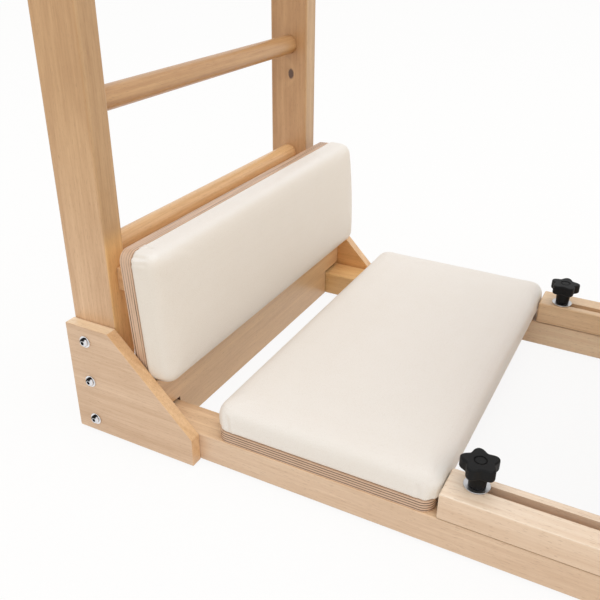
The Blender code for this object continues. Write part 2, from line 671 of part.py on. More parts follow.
def build_clamp(side, sign):
    """One clamp: the stud in the rail, the washer on the beam and the star knob."""
    x, y = STUD_X, sign * STUD_Y
    stud_bottom = RAIL_TOP - STUD_BITE
    stud_top = KNOB_Z + STUD_IN_KNOB
    chamfer = STUD_RADIUS / 4
    middle = (stud_bottom + stud_top) / 2
    half = (stud_top - stud_bottom) / 2
    turned(f"clamp_stud_{side}", [(0, half), (STUD_RADIUS - chamfer, half), (STUD_RADIUS, half - chamfer),
                                  (STUD_RADIUS, chamfer - half), (STUD_RADIUS - chamfer, -half), (0, -half)],
           (x, y, middle), (0, 0, 0), STEEL, HOLE_SIDES)

    bore = STUD_RADIUS + PIN_CLEARANCE
    edge = CLAMP_WASHER_THICKNESS / 4
    thick = CLAMP_WASHER_THICKNESS
    turned(f"clamp_washer_{side}",
           [(CLAMP_WASHER_RADIUS - edge, thick), (CLAMP_WASHER_RADIUS, thick - edge),
            (CLAMP_WASHER_RADIUS, 0), (bore, 0), (bore, thick)],
           (x, y, BEAM_TOP + GAP), (0, 0, 0), CHROME, ROD_SIDES, closed=True)

    turn = carrier(f"knob_turn_{side}", (x, y, KNOB_Z))
    head_z = KNOB_HEIGHT - KNOB_HEAD_HEIGHT / 2
    knob = bpy.data.objects.new("knob", plate_mesh("knob", [knob_outline()], KNOB_HEAD_HEIGHT))
    knob.data.transform(Matrix.Translation((0, 0, head_z)))
    PARTS.objects.link(knob)
    knob.location = (x, y, KNOB_Z)
    knob.rotation_euler = (0, 0, KNOB_TURNS[side])
    round_edges(knob, KNOB_EDGE, 2, 50)
    hub_top = KNOB_HEIGHT - KNOB_HEAD_HEIGHT / 2
    hub = turned(f"knob_hub_{side}", [(0, hub_top), (KNOB_HUB_TOP_RADIUS, hub_top),
                                      (KNOB_HUB_FOOT_RADIUS, 0), (0, 0)],
                 (x, y, KNOB_Z), (0, 0, 0), BLACK_PLASTIC, HUB_SIDES)
    combine(knob, as_cutter(hub, f"knob_hub_{side}"), "UNION")
    bore_top = STUD_IN_KNOB + KNOB_BORE_SPARE
    combine(knob, drill(f"knob_bore_{side}", bore, 2 * bore_top, (x, y, KNOB_Z), (0, 0, 0)))
    combine(knob, drill(f"knob_recess_{side}", KNOB_RECESS_RADIUS, 2 * KNOB_RECESS_DEPTH,
                        (x, y, KNOB_Z + KNOB_HEIGHT), (0, 0, 0)))
    smooth(knob, 30)
    finish(knob, f"star_knob_{side}", BLACK_PLASTIC)
    hold(turn, [knob])


def tangent_angle():
    """Angle below the axis at which a side's straight leg leaves its arc."""
    foot = Vector((SIDE_FOOT_LENGTH / 2, BEAM_TOP - BARREL_Z))
    return -math.atan2(foot.y, foot.x) - math.acos(SIDE_RADIUS / foot.length)


def barrel_path(run, out):
    """(x, z) on the barrel's skin: run is the length from the crest at the sides' radius."""
    low = tangent_angle()
    bent = SIDE_RADIUS * (math.pi / 2 + low)
    sign = -1 if run < 0 else 1
    length = abs(run)
    angle = math.pi / 2 - min(length, bent) / SIDE_RADIUS
    rest = max(length - bent, 0)
    x = (SIDE_RADIUS + out) * math.cos(angle) + rest * math.sin(angle)
    z = (SIDE_RADIUS + out) * math.sin(angle) - rest * math.cos(angle)
    return sign * x, z


def barrel_reach():
    """Length of the skin from the crest to its end."""
    return SIDE_RADIUS * (math.pi / 2 + tangent_angle()) + SHELL_SKIRT


def side_outline():
    """The arched side with straight legs and a keel that runs between the rails."""
    low = tangent_angle()
    half = SIDE_FOOT_LENGTH / 2
    bottom = BEAM_BOTTOM - SIDE_KEEL - BARREL_Z
    top = BEAM_TOP - BARREL_Z
    corner = SIDE_KEEL_CORNER
    crown = arc((0, 0), SIDE_RADIUS, -low, math.pi + low, ARC_STEPS)
    left = arc((corner - half, bottom + corner), corner, math.pi, 1.5 * math.pi, FILLET_STEPS)
    right = arc((half - corner, bottom + corner), corner, 1.5 * math.pi, 2 * math.pi, FILLET_STEPS)
    return crown + [(-half, top)] + left + right + [(half, top)]


def lower_window():
    """The window between a side's legs."""
    low = tangent_angle()
    edge_x, edge_z = SIDE_RADIUS * math.cos(low), -SIDE_RADIUS * math.sin(low)
    foot_z = BEAM_TOP - BARREL_Z
    slope = (edge_x - SIDE_FOOT_LENGTH / 2) / (edge_z - foot_z)

    def half_width(z):
        return SIDE_FOOT_LENGTH / 2 + (z - foot_z) * slope - LOWER_WINDOW_WALL

    bottom = RAIL_BOTTOM + LOWER_WINDOW_BOTTOM - BARREL_Z
    top = RAIL_BOTTOM + LOWER_WINDOW_TOP - BARREL_Z
    radius = LOWER_WINDOW_CORNER
    return rounded([(half_width(top), top, radius), (-half_width(top), top, radius),
                    (-half_width(bottom), bottom, radius), (half_width(bottom), bottom, radius)])


def build_barrel():
    """The sliding barrel: slotted beams, sides, shell, cushion, battens, stretchers and bolts."""
    pieces = []
    beam_length = FAR_END - BEAM_END_INSET - BEAM_X
    beam_y = (RAIL_OUTER + BEAM_INNER) / 2
    slot_start = STUD_X - STUD_RADIUS - GAP
    slot_half = SLOT_WIDTH / 2
    slot_end = slot_start + SLOT_LENGTH
    slot_round = slot_half * SLOT_END_SHARE
    slot = rounded([(slot_start, -slot_half, slot_round), (slot_end, -slot_half, slot_round),
                    (slot_end, slot_half, slot_round), (slot_start, slot_half, slot_round)])
    window = arc((0, 0), ROUND_WINDOW_RADIUS, 0, 2 * math.pi, WINDOW_STEPS)[:-1]
    inner_face = CLEAR_INSIDE - SIDE_THICKNESS
    bolt_z = BEAM_BOTTOM + BEAM_HEIGHT / 2
    shank = RAIL_OUTER + GAP - CLEAR_INSIDE + SIDE_BOLT_BITE
    for side, sign in SIDES.items():
        beam = block(f"slide_beam_{side}", (beam_length, RAIL_OUTER - BEAM_INNER, BEAM_HEIGHT),
                     (BEAM_X + beam_length / 2, sign * beam_y, bolt_z), BEECH, BEAM_EDGE, segments=2)
        tool = bpy.data.objects.new("slot", plate_mesh("slot", [slot], 2 * BEAM_HEIGHT))
        PARTS.objects.link(tool)
        tool.location = (0, sign * STUD_Y, bolt_z)
        combine(beam, as_cutter(tool, f"beam_slot_{side}"))
        panel = plate(f"barrel_side_{side}", [side_outline(), window, lower_window()], SIDE_THICKNESS,
                      (BARREL_X, sign * (CLEAR_INSIDE - SIDE_THICKNESS / 2), BARREL_Z), STANDING, PLYWOOD,
                      SIDE_EDGE)
        pieces += [beam, panel]
        for index, shift in enumerate((-SIDE_BOLT_SPREAD / 2, SIDE_BOLT_SPREAD / 2), 1):
            seat = (BARREL_X + shift, sign * (RAIL_OUTER + GAP), bolt_z)
            name = f"side_bolt_{side}_{index}"
            pieces.append(bolt(name, shank, seat, sign))
            hole = drill(f"{name}_hole", BOLT_SHANK_RADIUS + PIN_CLEARANCE, 2 * (shank + GAP), seat,
                         STANDING)
            combine(beam, hole)
            combine(panel, hole)

    reach = barrel_reach()
    low = tangent_angle()
    bent = SIDE_RADIUS * (math.pi / 2 + low)
    runs = [-reach] + [bent * (2 * i / ARC_STEPS - 1) for i in range(ARC_STEPS + 1)] + [reach]
    outer = [barrel_path(run, GAP + SHELL_THICKNESS) for run in runs]
    inner = [barrel_path(run, GAP) for run in reversed(runs)]
    pieces.append(plate("barrel_shell", [outer + inner], 2 * CLEAR_INSIDE, (BARREL_X, 0, BARREL_Z),
                        STANDING, PLYWOOD))

    skin = GAP + SHELL_THICKNESS + COVER_CLEARANCE

    def wrapped(x, y, height):
        across, up = barrel_path(x, skin + height)
        return (BARREL_X + across, y, BARREL_Z + up)

    pieces.append(cushion("barrel_cushion", reach, CLEAR_INSIDE, BARREL_PAD_THICKNESS - BARREL_PAD_CROWN,
                          BARREL_PAD_CROWN, CUSHION_ROLL, wrapped, ARC_STEPS))

    clear = 2 * (inner_face - GAP)
    sagitta = SIDE_RADIUS - math.sqrt(SIDE_RADIUS ** 2 - (BARREL_BATTEN_WIDTH / 2) ** 2)
    last = reach - BARREL_BATTEN_WIDTH / 2 - BARREL_BATTEN_MARGIN
    for index in range(BARREL_BATTEN_COUNT):
        run = last * (2 * index / (BARREL_BATTEN_COUNT - 1) - 1)
        x, z = barrel_path(run, -sagitta - GAP - BARREL_BATTEN_THICKNESS / 2)
        out_x, out_z = barrel_path(run, 0)
        lean = math.atan2(out_x - x, out_z - z)
        pieces.append(block(f"barrel_batten_{index + 1}",
                            (BARREL_BATTEN_WIDTH, clear, BARREL_BATTEN_THICKNESS),
                            (BARREL_X + x, 0, BARREL_Z + z), BEECH, BOARD_EDGE, (0, lean, 0)))
    for index, sign in enumerate((-1, 1), 1):
        pieces.append(block(f"barrel_stretcher_{index}", (STRETCHER_THICKNESS, clear, STRETCHER_HEIGHT),
                            (BARREL_X + sign * STRETCHER_SPREAD / 2, 0,
                             BEAM_TOP + STRETCHER_LIFT + STRETCHER_HEIGHT / 2), BEECH, BOARD_EDGE))
    hold(carrier("barrel_slide", (BARREL_X, 0, BEAM_BOTTOM)), pieces)


def build():
    """Make the whole object."""
    rails = build_rails()
    posts = build_ladder()
    build_gussets(posts, rails)
    build_cross_board()
    build_back_pad()
    build_deck()
    for side, sign in SIDES.items():
        build_clamp(side, sign)
    build_barrel()


build()
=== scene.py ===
"""Dresses the pilates ladder barrel: its finished pieces, their finishes, light and camera."""
import logging
import math
from dataclasses import dataclass, field, replace
from enum import Enum
from typing import Callable, Optional, Sequence

import bmesh
import bpy
import numpy as np
from mathutils import Matrix, Vector


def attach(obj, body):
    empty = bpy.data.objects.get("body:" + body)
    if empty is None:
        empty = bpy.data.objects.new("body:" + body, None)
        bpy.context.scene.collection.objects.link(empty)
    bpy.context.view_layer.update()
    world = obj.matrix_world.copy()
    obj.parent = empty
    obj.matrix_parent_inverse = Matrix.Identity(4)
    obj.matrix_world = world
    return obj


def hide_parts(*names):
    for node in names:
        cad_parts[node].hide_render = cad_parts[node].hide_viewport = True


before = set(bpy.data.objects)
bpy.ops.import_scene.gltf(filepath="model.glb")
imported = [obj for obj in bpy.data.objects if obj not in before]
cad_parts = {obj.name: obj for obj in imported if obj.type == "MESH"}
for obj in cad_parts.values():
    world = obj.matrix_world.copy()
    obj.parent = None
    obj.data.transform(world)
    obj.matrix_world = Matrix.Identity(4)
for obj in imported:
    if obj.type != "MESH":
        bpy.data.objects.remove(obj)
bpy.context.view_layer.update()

LOG = logging.getLogger("ladder_barrel")

Object = bpy.types.Object
Material = bpy.types.Material
Colour = tuple[float, float, float]
Point = tuple[float, float, float]
Flat = tuple[float, float]

# Places that several sub-assemblies share, in metres
GAP = 0.0003           # clearance that seated pieces keep
RAIL_OUTER = 0.3297    # from the middle plane to a rail's outer face
RAIL_INNER = 0.2697
CLEAR_INSIDE = 0.2684  # half the width of what runs between the rails
RAIL_BOTTOM = 0.0043
RAIL_TOP = 0.0523
BEAM_BOTTOM = 0.0526
BEAM_TOP = 0.0936
LADDER_BACK = -0.7255
FAR_END = 0.7255
BOARD_HALF = 0.328     # half the length of the pads' boards
STUD_X = -0.0885
STUD_Y = 0.2897
STUD_HOLE = 0.0053
BOLT_X = -0.6895       # of the gussets' bolts
BOLT_HEIGHTS = (0.1723, 0.1003, 0.0283)
BOLT_HOLE = 0.00425
BOLT_BITE = 0.0284     # from a rail's outer face to the end of its bolt hole
SPARE = 0.01           # how far a drill reaches out of the wood

QUARTER = math.radians(90)
WHITE = (1.0, 1.0, 1.0)


class Side(Enum):
    """The two long sides; the right one is nearer to the camera."""

    RIGHT = ("right", -1)
    LEFT = ("left", 1)

    @property
    def word(self) -> str:
        """The side's word in the nodes' names."""
        return self.value[0]

    @property
    def sign(self) -> int:
        """-1 on the right, where Y is negative, and 1 on the left."""
        return self.value[1]

    def seat(self, x: float, out: float, z: float) -> Matrix:
        """Carries a bolt about Z to a place on this side, with its head outwards."""
        turn = Matrix.Rotation(-self.sign * QUARTER, 4, "X")
        return Matrix.Translation((x, self.sign * out, z)) @ turn


class Grain(Enum):
    """The axis that a board's fibres follow."""

    ALONG_X = 0
    ALONG_Y = 1
    ALONG_Z = 2


class Face(Enum):
    """The parts of a timber that may get a tint of painted light or shade."""

    LOW = "the lower part of its broad sides"
    CUT = "all but its broad sides"
    FOOT = "the lowest part of all but its broad sides"
    INNER = "its side towards the camera"
    BACK = "its end towards the ladder"
    TOP = "what faces up"
    UNDER = "what faces down"


# ---------------------------------------------------------------- shader graph


class Wire:
    """A shader socket that takes Python's operators; each one adds a Math node."""

    def __init__(self, graph: "Graph", socket: bpy.types.NodeSocket) -> None:
        """Keep the graph and the socket that feeds the next node."""
        self.graph = graph
        self.socket = socket

    def __add__(self, other: "Wire | float") -> "Wire":
        """Sum of two values."""
        return self.graph.maths("ADD", self, other)

    __radd__ = __add__

    def __sub__(self, other: "Wire | float") -> "Wire":
        """This value less another."""
        return self.graph.maths("SUBTRACT", self, other)

    def __rsub__(self, other: "Wire | float") -> "Wire":
        """Another value less this one."""
        return self.graph.maths("SUBTRACT", other, self)

    def __mul__(self, other: "Wire | float") -> "Wire":
        """Product of two values."""
        return self.graph.maths("MULTIPLY", self, other)

    __rmul__ = __mul__

    def __truediv__(self, other: "Wire | float") -> "Wire":
        """This value divided by another."""
        return self.graph.maths("DIVIDE", self, other)

    def __pow__(self, other: "Wire | float") -> "Wire":
        """This value to a power."""
        return self.graph.maths("POWER", self, other)

    def size(self) -> "Wire":
        """The value without its sign."""
        return self.graph.maths("ABSOLUTE", self)

    def floor(self) -> "Wire":
        """The whole number below the value."""
        return self.graph.maths("FLOOR", self)

    def within(self, low: float, high: float) -> "Wire":
        """The value held between two limits."""
        return self.graph.maths("MINIMUM", self.graph.maths("MAXIMUM", self, low), high)


class Graph:
    """The node tree of one material or world."""

    def __init__(self, owner: "Material | bpy.types.World",
                 output: str = "ShaderNodeOutputMaterial") -> None:
        """Empty the owner's tree.

        Args:
            owner: The material or the world.
            output: The type of the node that the surface ends in.
        """
        owner.use_nodes = True
        self.owner = owner
        self.output = output
        self.tree = owner.node_tree
        self.tree.nodes.clear()

    @staticmethod
    def _socket(sockets: Sequence[bpy.types.NodeSocket], key: "str | int") -> bpy.types.NodeSocket:
        """Find one of a node's sockets.

        Args:
            sockets: The node's inputs or outputs.
            key: The socket's number, identifier or name.

        Returns:
            The socket.
        """
        if isinstance(key, int):
            return sockets[key]
        for socket in sockets:
            if socket.identifier == key:
                return socket
        return sockets[key]

    def node(self, kind: str, settings: Optional[dict] = None, inputs: Optional[dict] = None,
             output: "str | int" = 0) -> Wire:
        """Add a node.

        Args:
            kind: The node's type.
            settings: Its properties, set first.
            inputs: Values or wires, by socket number, identifier or name.
            output: The socket that the wire starts at.

        Returns:
            The wire from that output.
        """
        made = self.tree.nodes.new(kind)
        for key, value in (settings or {}).items():
            setattr(made, key, value)
        for key, value in (inputs or {}).items():
            socket = self._socket(made.inputs, key)
            if isinstance(value, Wire):
                self.tree.links.new(value.socket, socket)
            else:
                socket.default_value = (*value, 1.0) if socket.type == "RGBA" else value
        return Wire(self, self._socket(made.outputs, output))

    def maths(self, operation: str, *values: "Wire | float") -> Wire:
        """A Math node on one to three values."""
        return self.node("ShaderNodeMath", {"operation": operation}, dict(enumerate(values)))

    def step(self, value: Wire, low: float, high: float) -> Wire:
        """0 below one value, 1 above another, and a smooth rise between them."""
        return self.node("ShaderNodeMapRange", {"interpolation_type": "SMOOTHSTEP"},
                         {"Value": value, "From Min": low, "From Max": high})

    def mix(self, share: "Wire | float", first: "Wire | Colour", second: "Wire | Colour",
            blend: str = "MIX") -> Wire:
        """A colour between two colours.

        Args:
            share: How much of the second colour is in it.
            first: The first colour.
            second: The second colour.
            blend: How the two are blended.

        Returns:
            The blended colour.
        """
        return self.node("ShaderNodeMix", {"data_type": "RGBA", "blend_type": blend},
                         {"Factor_Float": share, "A_Color": first, "B_Color": second},
                         "Result_Color")

    def tint(self, share: "Wire | float", colour: Wire, tint: Colour) -> Wire:
        """A colour that is multiplied by a tint where the share is 1."""
        return self.mix(share, colour, self.mix(1.0, colour, tint, "MULTIPLY"))

    def vector(self, x: "Wire | float", y: "Wire | float", z: "Wire | float") -> Wire:
        """A vector from three values."""
        return self.node("ShaderNodeCombineXYZ", None, {"X": x, "Y": y, "Z": z})

    def part(self, vector: Wire, axis: str) -> Wire:
        """One of a vector's three values."""
        return self.node("ShaderNodeSeparateXYZ", None, {"Vector": vector}, axis)

    def place(self) -> Wire:
        """The place on the object, in metres."""
        return self.node("ShaderNodeTexCoord", None, None, "Object")

    def facing(self, axis: str) -> Wire:
        """How much the surface faces along an axis."""
        return self.part(self.node("ShaderNodeTexCoord", None, None, "Normal"), axis)

    def mark(self, name: str) -> Wire:
        """A value that the piece carries at its points."""
        return self.node("ShaderNodeAttribute", {"attribute_name": name}, None, "Fac")

    def seen(self) -> Wire:
        """What the camera sees, by itself or in metal or glass.

        Returns:
            1 for such rays and 0 for all others.
        """
        camera, glossy, through = (self.node("ShaderNodeLightPath", None, None, f"Is {kind} Ray")
                                   for kind in ("Camera", "Glossy", "Transmission"))
        return self.maths("MAXIMUM", self.maths("MAXIMUM", camera, glossy), through)

    def noise(self, where: Wire, scale: float, detail: float = 2.0,
              roughness: float = 0.5) -> Wire:
        """Smooth noise, about 0.5."""
        return self.node("ShaderNodeTexNoise", None, {"Vector": where, "Scale": scale,
                                                      "Detail": detail, "Roughness": roughness})

    def line_noise(self, value: Wire, scale: float, detail: float) -> Wire:
        """Noise along one value."""
        return self.node("ShaderNodeTexNoise", {"noise_dimensions": "1D"},
                         {"W": value, "Scale": scale, "Detail": detail})

    def bump(self, height: Wire, distance: float, strength: float) -> Wire:
        """A surface relief from a height."""
        return self.node("ShaderNodeBump", None, {"Height": height, "Distance": distance,
                                                  "Strength": strength}, "Normal")

    def surface(self, **sockets: "Wire | float | Colour") -> Material:
        """End the graph in a Principled shader.

        Args:
            sockets: Its inputs, with _ for each space in a name.

        Returns:
            The material.
        """
        named = {key.replace("_", " "): value for key, value in sockets.items()}
        return self.end(self.node("ShaderNodeBsdfPrincipled", None, named, "BSDF"))

    def end(self, shader: Wire) -> "Material | bpy.types.World":
        """Join a shader to the tree's output.

        Args:
            shader: The shader.

        Returns:
            The material or the world.
        """
        output = self.tree.nodes.new(self.output)
        self.tree.links.new(shader.socket, output.inputs["Surface"])
        return self.owner


# ---------------------------------------------------------------- finishes


@dataclass(frozen=True)
class Layer:
    """Noise on a board, drawn out along its grain."""

    squeeze: float
    scale: float
    detail: float = 3.0
    roughness: float = 0.6
    weight: float = 0.7


FIBRES = Layer(0.022, 620.0)
CLOUDS = Layer(0.16, 16.0, roughness=0.5)
STREAKS = Layer(0.030, 240.0, 4.0, 0.66, 1.5)
FIGURE = Layer(0.22, 150.0)
WANDER = Layer(0.16, 7.0, roughness=0.5)
FLECKS = Layer(0.14, 700.0, 1.0, 0.5)
PORES = Layer(0.07, 1500.0, 2.0)
VENEER_RINGS = Layer(0.10, 46.0, roughness=0.55, weight=0.9)
VENEER_FIBRES = Layer(0.03, 560.0, weight=0.5)


class Board:
    """A board's own axes in a graph: two across its grain and one along it."""

    def __init__(self, graph: Graph, grain: Grain) -> None:
        """Sort the axes of the place on the object.

        Args:
            graph: The material's graph.
            grain: The axis that the fibres follow.
        """
        place = graph.place()
        self.graph = graph
        self.axes = [graph.part(place, axis) for axis in "XYZ"]
        self.along = self.axes[grain.value]
        self.across = [axis for axis in self.axes if axis is not self.along]

    def noise(self, layer: Layer) -> Wire:
        """One layer of noise, about 0.5."""
        where = self.graph.vector(*self.across, self.along * layer.squeeze)
        return self.graph.noise(where, layer.scale, layer.detail, layer.roughness)


class Finish:
    """What a piece is made of: a slot name and a material."""

    name: str
    slot: str

    def material(self) -> Material:
        """The material, made the first time it is asked for."""
        made = bpy.data.materials.get(self.name)
        return made or self.make(Graph(bpy.data.materials.new(self.name)))

    def make(self, g: Graph) -> Material:
        """Build the material's nodes.

        Args:
            g: The material's empty graph.

        Returns:
            The material.
        """
        raise NotImplementedError


@dataclass(frozen=True)
class Timber(Finish):
    """Varnished beech with growth rings, fibre streaks and short ray flecks, with painted light and
    shade tinted on some faces and a painted shade line in the gap under it.
    """

    name: str
    grain: Grain
    pale: Colour
    deep: Colour
    heart: Flat                      # where the rings' middle lies across the grain
    drift: float = 0.030             # how far the rings wander
    ring_scale: float = 95.0
    contrast: float = 0.74
    # tints of painted light and shade, by face
    tints: dict[Face, Colour] = field(default_factory=dict)
    knot: Optional[Point] = None
    seam: Optional[float] = None     # height of the painted shade line in the gap under the piece
    seam_reach: float = 0.0          # how far from the middle plane the painted shade line starts
    fleck: Colour = (0.30, 0.15, 0.065)
    fleck_share: float = 0.26
    knot_eye: Colour = (0.085, 0.036, 0.018)
    knot_share: float = 0.94
    joint: Colour = (0.070, 0.028, 0.012)
    joint_share: float = 0.88
    slot: str = "beech"

    def make(self, g: Graph) -> Material:
        """Build the beech's nodes.

        Args:
            g: The material's empty graph.

        Returns:
            The material.
        """
        board = Board(g, self.grain)
        first, second = (axis - middle for axis, middle in zip(board.across, self.heart))
        radius = (first * first + second * second) ** 0.5
        radius = radius + (board.noise(WANDER) - 0.5) * self.drift
        if self.knot:
            radius = radius + self.knot_pull(board)
        rings = g.line_noise(radius, self.ring_scale, 3.5)
        layers = {layer: board.noise(layer) for layer in (FIBRES, CLOUDS, STREAKS, FIGURE)}
        share = (rings - 0.5) * 1.5
        for layer, value in layers.items():
            share = share + (value - 0.5) * layer.weight
        colour = g.mix((share * self.contrast + 0.45).within(0.0, 1.0), self.pale, self.deep)
        # painted light and shade: tint each face that has a tint
        for face in Face:
            if face in self.tints:
                colour = g.tint(self.share_of(face, board), colour, self.tints[face])
        colour = self.marked(board, colour)
        fibres = layers[FIBRES]
        return g.surface(Base_Color=colour, Roughness=0.36 + fibres * 0.16 - rings * 0.06,
                         Normal=g.bump(board.noise(PORES) * 0.5 + fibres * 0.5, 0.00016, 0.6),
                         Coat_Weight=0.34, Coat_Roughness=0.26)

    @staticmethod
    def share_of(face: Face, board: Board) -> Wire:
        """Where a part of the piece that has a tint of painted light or shade lies.

        Args:
            face: The part.
            board: The board's axes.

        Returns:
            1 on that part and 0 elsewhere, with soft borders.
        """
        g, (x, _, z) = board.graph, board.axes
        if face is Face.TOP:
            return g.step(g.facing("Z"), 0.80, 0.94)
        if face is Face.UNDER:
            return 1.0 - g.step(g.facing("Z"), -0.60, 0.10)
        if face is Face.INNER:
            return g.step(g.facing("Y") * -1.0, 0.55, 0.85)
        if face is Face.BACK:
            return 1.0 - g.step(x, -0.47, -0.33)
        broad = g.step(g.facing("Y").size(), 0.55, 0.85)
        if face is Face.LOW:
            return (1.0 - g.step(z, 0.05, 0.60)) * broad
        if face is Face.FOOT:
            return (1.0 - g.step(z, 0.315, 0.355)) * (1.0 - broad)
        return 1.0 - broad

    def marked(self, board: Board, colour: Wire) -> Wire:
        """Add the ray flecks, the knot and the painted shade line in the gap under the piece.

        Args:
            board: The board's axes.
            colour: The wood's colour.

        Returns:
            The colour with its marks.
        """
        g, (_, y, z) = board.graph, board.axes
        flecks = g.step(board.noise(FLECKS), 0.63, 0.71)
        colour = g.mix(flecks * self.fleck_share, colour, self.fleck)
        if self.knot:
            edge = g.noise(g.place(), 240.0) * 0.0022
            eye = 1.0 - g.step(self.knot_distance(board) + edge, 0.0056, 0.0086)
            colour = g.mix(eye * self.knot_share, colour, self.knot_eye)
        # painted shade: a dark line where the gap under the piece lies in shade
        if self.seam:
            line = 1.0 - g.step(z, self.seam + 0.0004, self.seam + 0.0018)
            line = line * g.step(y.size(), self.seam_reach - 0.0008, self.seam_reach)
            colour = g.mix(line * self.joint_share, colour, self.joint)
        return colour

    def knot_distance(self, board: Board) -> Wire:
        """How far the place is from the knot, which is long on the grain.

        Args:
            board: The board's axes.

        Returns:
            The distance in metres.
        """
        x, y, z = (axis - place for axis, place in zip(board.axes, self.knot))
        y, z = y * 0.55, z * 0.62
        return (x * x + y * y + z * z) ** 0.5

    def knot_pull(self, board: Board) -> Wire:
        """How far the growth rings are pushed aside round the knot."""
        return (1.0 - board.graph.step(self.knot_distance(board), 0.0, 0.030)) * 0.014


@dataclass(frozen=True)
class Plywood(Finish):
    """Beech plywood: face veneers, and crossed plies with dark glue lines on its edges."""

    name: str
    grain: Grain
    facing: Point = (0.0, 0.0, 1.0)
    start: float = 0.0
    thickness: float = 0.018
    pairs: float = 4.38
    depth_name: Optional[str] = None
    pale: Colour = (0.76, 0.54, 0.39)
    deep: Colour = (0.60, 0.39, 0.25)
    line: Colour = (0.085, 0.034, 0.015)
    slot: str = "plywood"

    def depth(self, board: Board) -> Wire:
        """How deep the place lies in the sheet.

        Args:
            board: The sheet's axes.

        Returns:
            0 on one face and 1 on the other.
        """
        if self.depth_name:
            return board.graph.mark(self.depth_name)
        x, y, z = (axis * share for axis, share in zip(board.axes, self.facing))
        return (x + y + z - self.start) / self.thickness

    def make(self, g: Graph) -> Material:
        """Build the plywood's nodes.

        Args:
            g: The material's empty graph.

        Returns:
            The material.
        """
        board = Board(g, self.grain)
        waver = (g.noise(g.place(), 16.0) - 0.5) * 0.20
        inside = self.depth(board).within(0.0005, 0.9995)
        layer = (inside * self.pairs + waver).within(0.04, self.pairs - 0.06)
        number = layer.floor()
        share = layer - number
        crossed = g.step(share, 0.42, 0.62) * (1.0 - g.step(share, 0.84, 1.0))
        strength = g.noise(g.vector(number * 5.3, board.along * 7.0, board.across[1] * 7.0), 1.0)
        rings, fibres = board.noise(VENEER_RINGS), board.noise(VENEER_FIBRES)
        tone = (rings - 0.5) * VENEER_RINGS.weight + (fibres - 0.5) * VENEER_FIBRES.weight + 0.4
        veneer = g.mix(tone.within(0.0, 1.0), self.pale, self.deep)
        lines = (crossed * ((strength - 0.5) * 3.4 + 0.72)).within(0.12, 0.95) * crossed
        ends = g.noise(g.place(), 900.0, 2.0, 0.6)
        relief = g.bump(fibres * 0.6 + ends * 0.4 - crossed * 0.8, 0.0002, 0.6)
        return g.surface(Base_Color=g.mix(lines, veneer, self.line), Normal=relief,
                         Roughness=0.42 + fibres * 0.16, Coat_Weight=0.10, Coat_Roughness=0.30)


@dataclass(frozen=True)
class Vinyl(Finish):
    """Soft cream upholstery vinyl with a fine leather grain, and faces along one axis lightened as
    painted light.
    """

    name: str
    pale: Colour
    deep: Colour
    end_tint: Optional[Colour] = None
    end_axis: str = "X"
    crevice: Colour = (0.60, 0.49, 0.38)
    slot: str = "vinyl"

    def make(self, g: Graph) -> Material:
        """Build the vinyl's nodes.

        Args:
            g: The material's empty graph.

        Returns:
            The material.
        """
        place = g.place()
        cells = g.node("ShaderNodeTexVoronoi", {"feature": "DISTANCE_TO_EDGE"},
                       {"Vector": place, "Scale": 620.0, "Randomness": 0.9}, "Distance")
        skin = g.step(cells, 0.0, 0.16)
        bend, clouds, rubs = (g.noise(place, scale, detail)
                              for scale, detail in ((380.0, 2.0), (5.0, 3.0), (34.0, 3.0)))
        tone = (clouds * 0.8 + rubs * 0.3 - 0.1).within(0.0, 1.0)
        colour = g.mix((1.0 - skin) * 0.18, g.mix(tone, self.pale, self.deep), self.crevice)
        # painted light: lighten the faces that turn along the axis
        if self.end_tint:
            colour = g.tint(g.step(g.facing(self.end_axis), 0.35, 0.90), colour, self.end_tint)
        return g.surface(Base_Color=colour, Roughness=0.46 + rubs * 0.14 - skin * 0.05,
                         Normal=g.bump(skin * 0.7 + bend * 0.3, 0.00012, 0.5))


@dataclass(frozen=True)
class BlackPlastic(Finish):
    """Moulded black plastic with a fine matt texture."""

    name: str = "moulded_black"
    pale: Colour = (0.011, 0.011, 0.011)
    deep: Colour = (0.006, 0.006, 0.0065)
    slot: str = "black_plastic"

    def make(self, g: Graph) -> Material:
        """Build the plastic's nodes.

        Args:
            g: The material's empty graph.

        Returns:
            The material.
        """
        place = g.place()
        grit = g.noise(place, 2600.0, 2.0, 0.6)
        return g.surface(Base_Color=g.mix(g.noise(place, 60.0), self.deep, self.pale),
                         Roughness=0.44 + grit * 0.14, Specular_IOR_Level=0.16,
                         Normal=g.bump(grit, 0.00006, 0.7))


@dataclass(frozen=True)
class PlatedMetal(Finish):
    """Plated steel, bright or dull, with fine wipe marks, and painted shade where its points carry
    it.
    """

    name: str
    colour: Colour
    dark: Colour
    roughness: float
    slot: str
    grime: Optional[str] = None
    dirt: Colour = (0.012, 0.012, 0.012)

    def make(self, g: Graph) -> Material:
        """Build the metal's nodes.

        Args:
            g: The material's empty graph.

        Returns:
            The material.
        """
        place = g.place()
        wipes = g.noise(place, 900.0, 3.0, 0.6)
        dull = g.step(g.noise(place, 140.0, 3.0), 0.35, 0.75) * 0.5
        colour = g.mix(dull, self.colour, self.dark)
        # painted shade: darken where the points mark the socket and the shaded rim
        if self.grime:
            colour = g.mix(g.mark(self.grime), colour, self.dirt)
        return g.surface(Base_Color=colour, Metallic=1.0, Roughness=self.roughness + wipes * 0.12,
                         Normal=g.bump(wipes, 0.00002, 0.6))


@dataclass(frozen=True)
class Rubber(Finish):
    """Black rubber with a dusty bloom."""

    name: str = "foot_rubber"
    black: Colour = (0.020, 0.020, 0.020)
    bloom: Colour = (0.045, 0.043, 0.040)
    slot: str = "rubber"

    def make(self, g: Graph) -> Material:
        """Build the rubber's nodes.

        Args:
            g: The material's empty graph.

        Returns:
            The material.
        """
        dust = g.noise(g.place(), 120.0, 3.0)
        return g.surface(Base_Color=g.mix(dust, self.black, self.bloom),
                         Roughness=0.78 + dust * 0.1, Normal=g.bump(dust, 0.0001, 0.5))
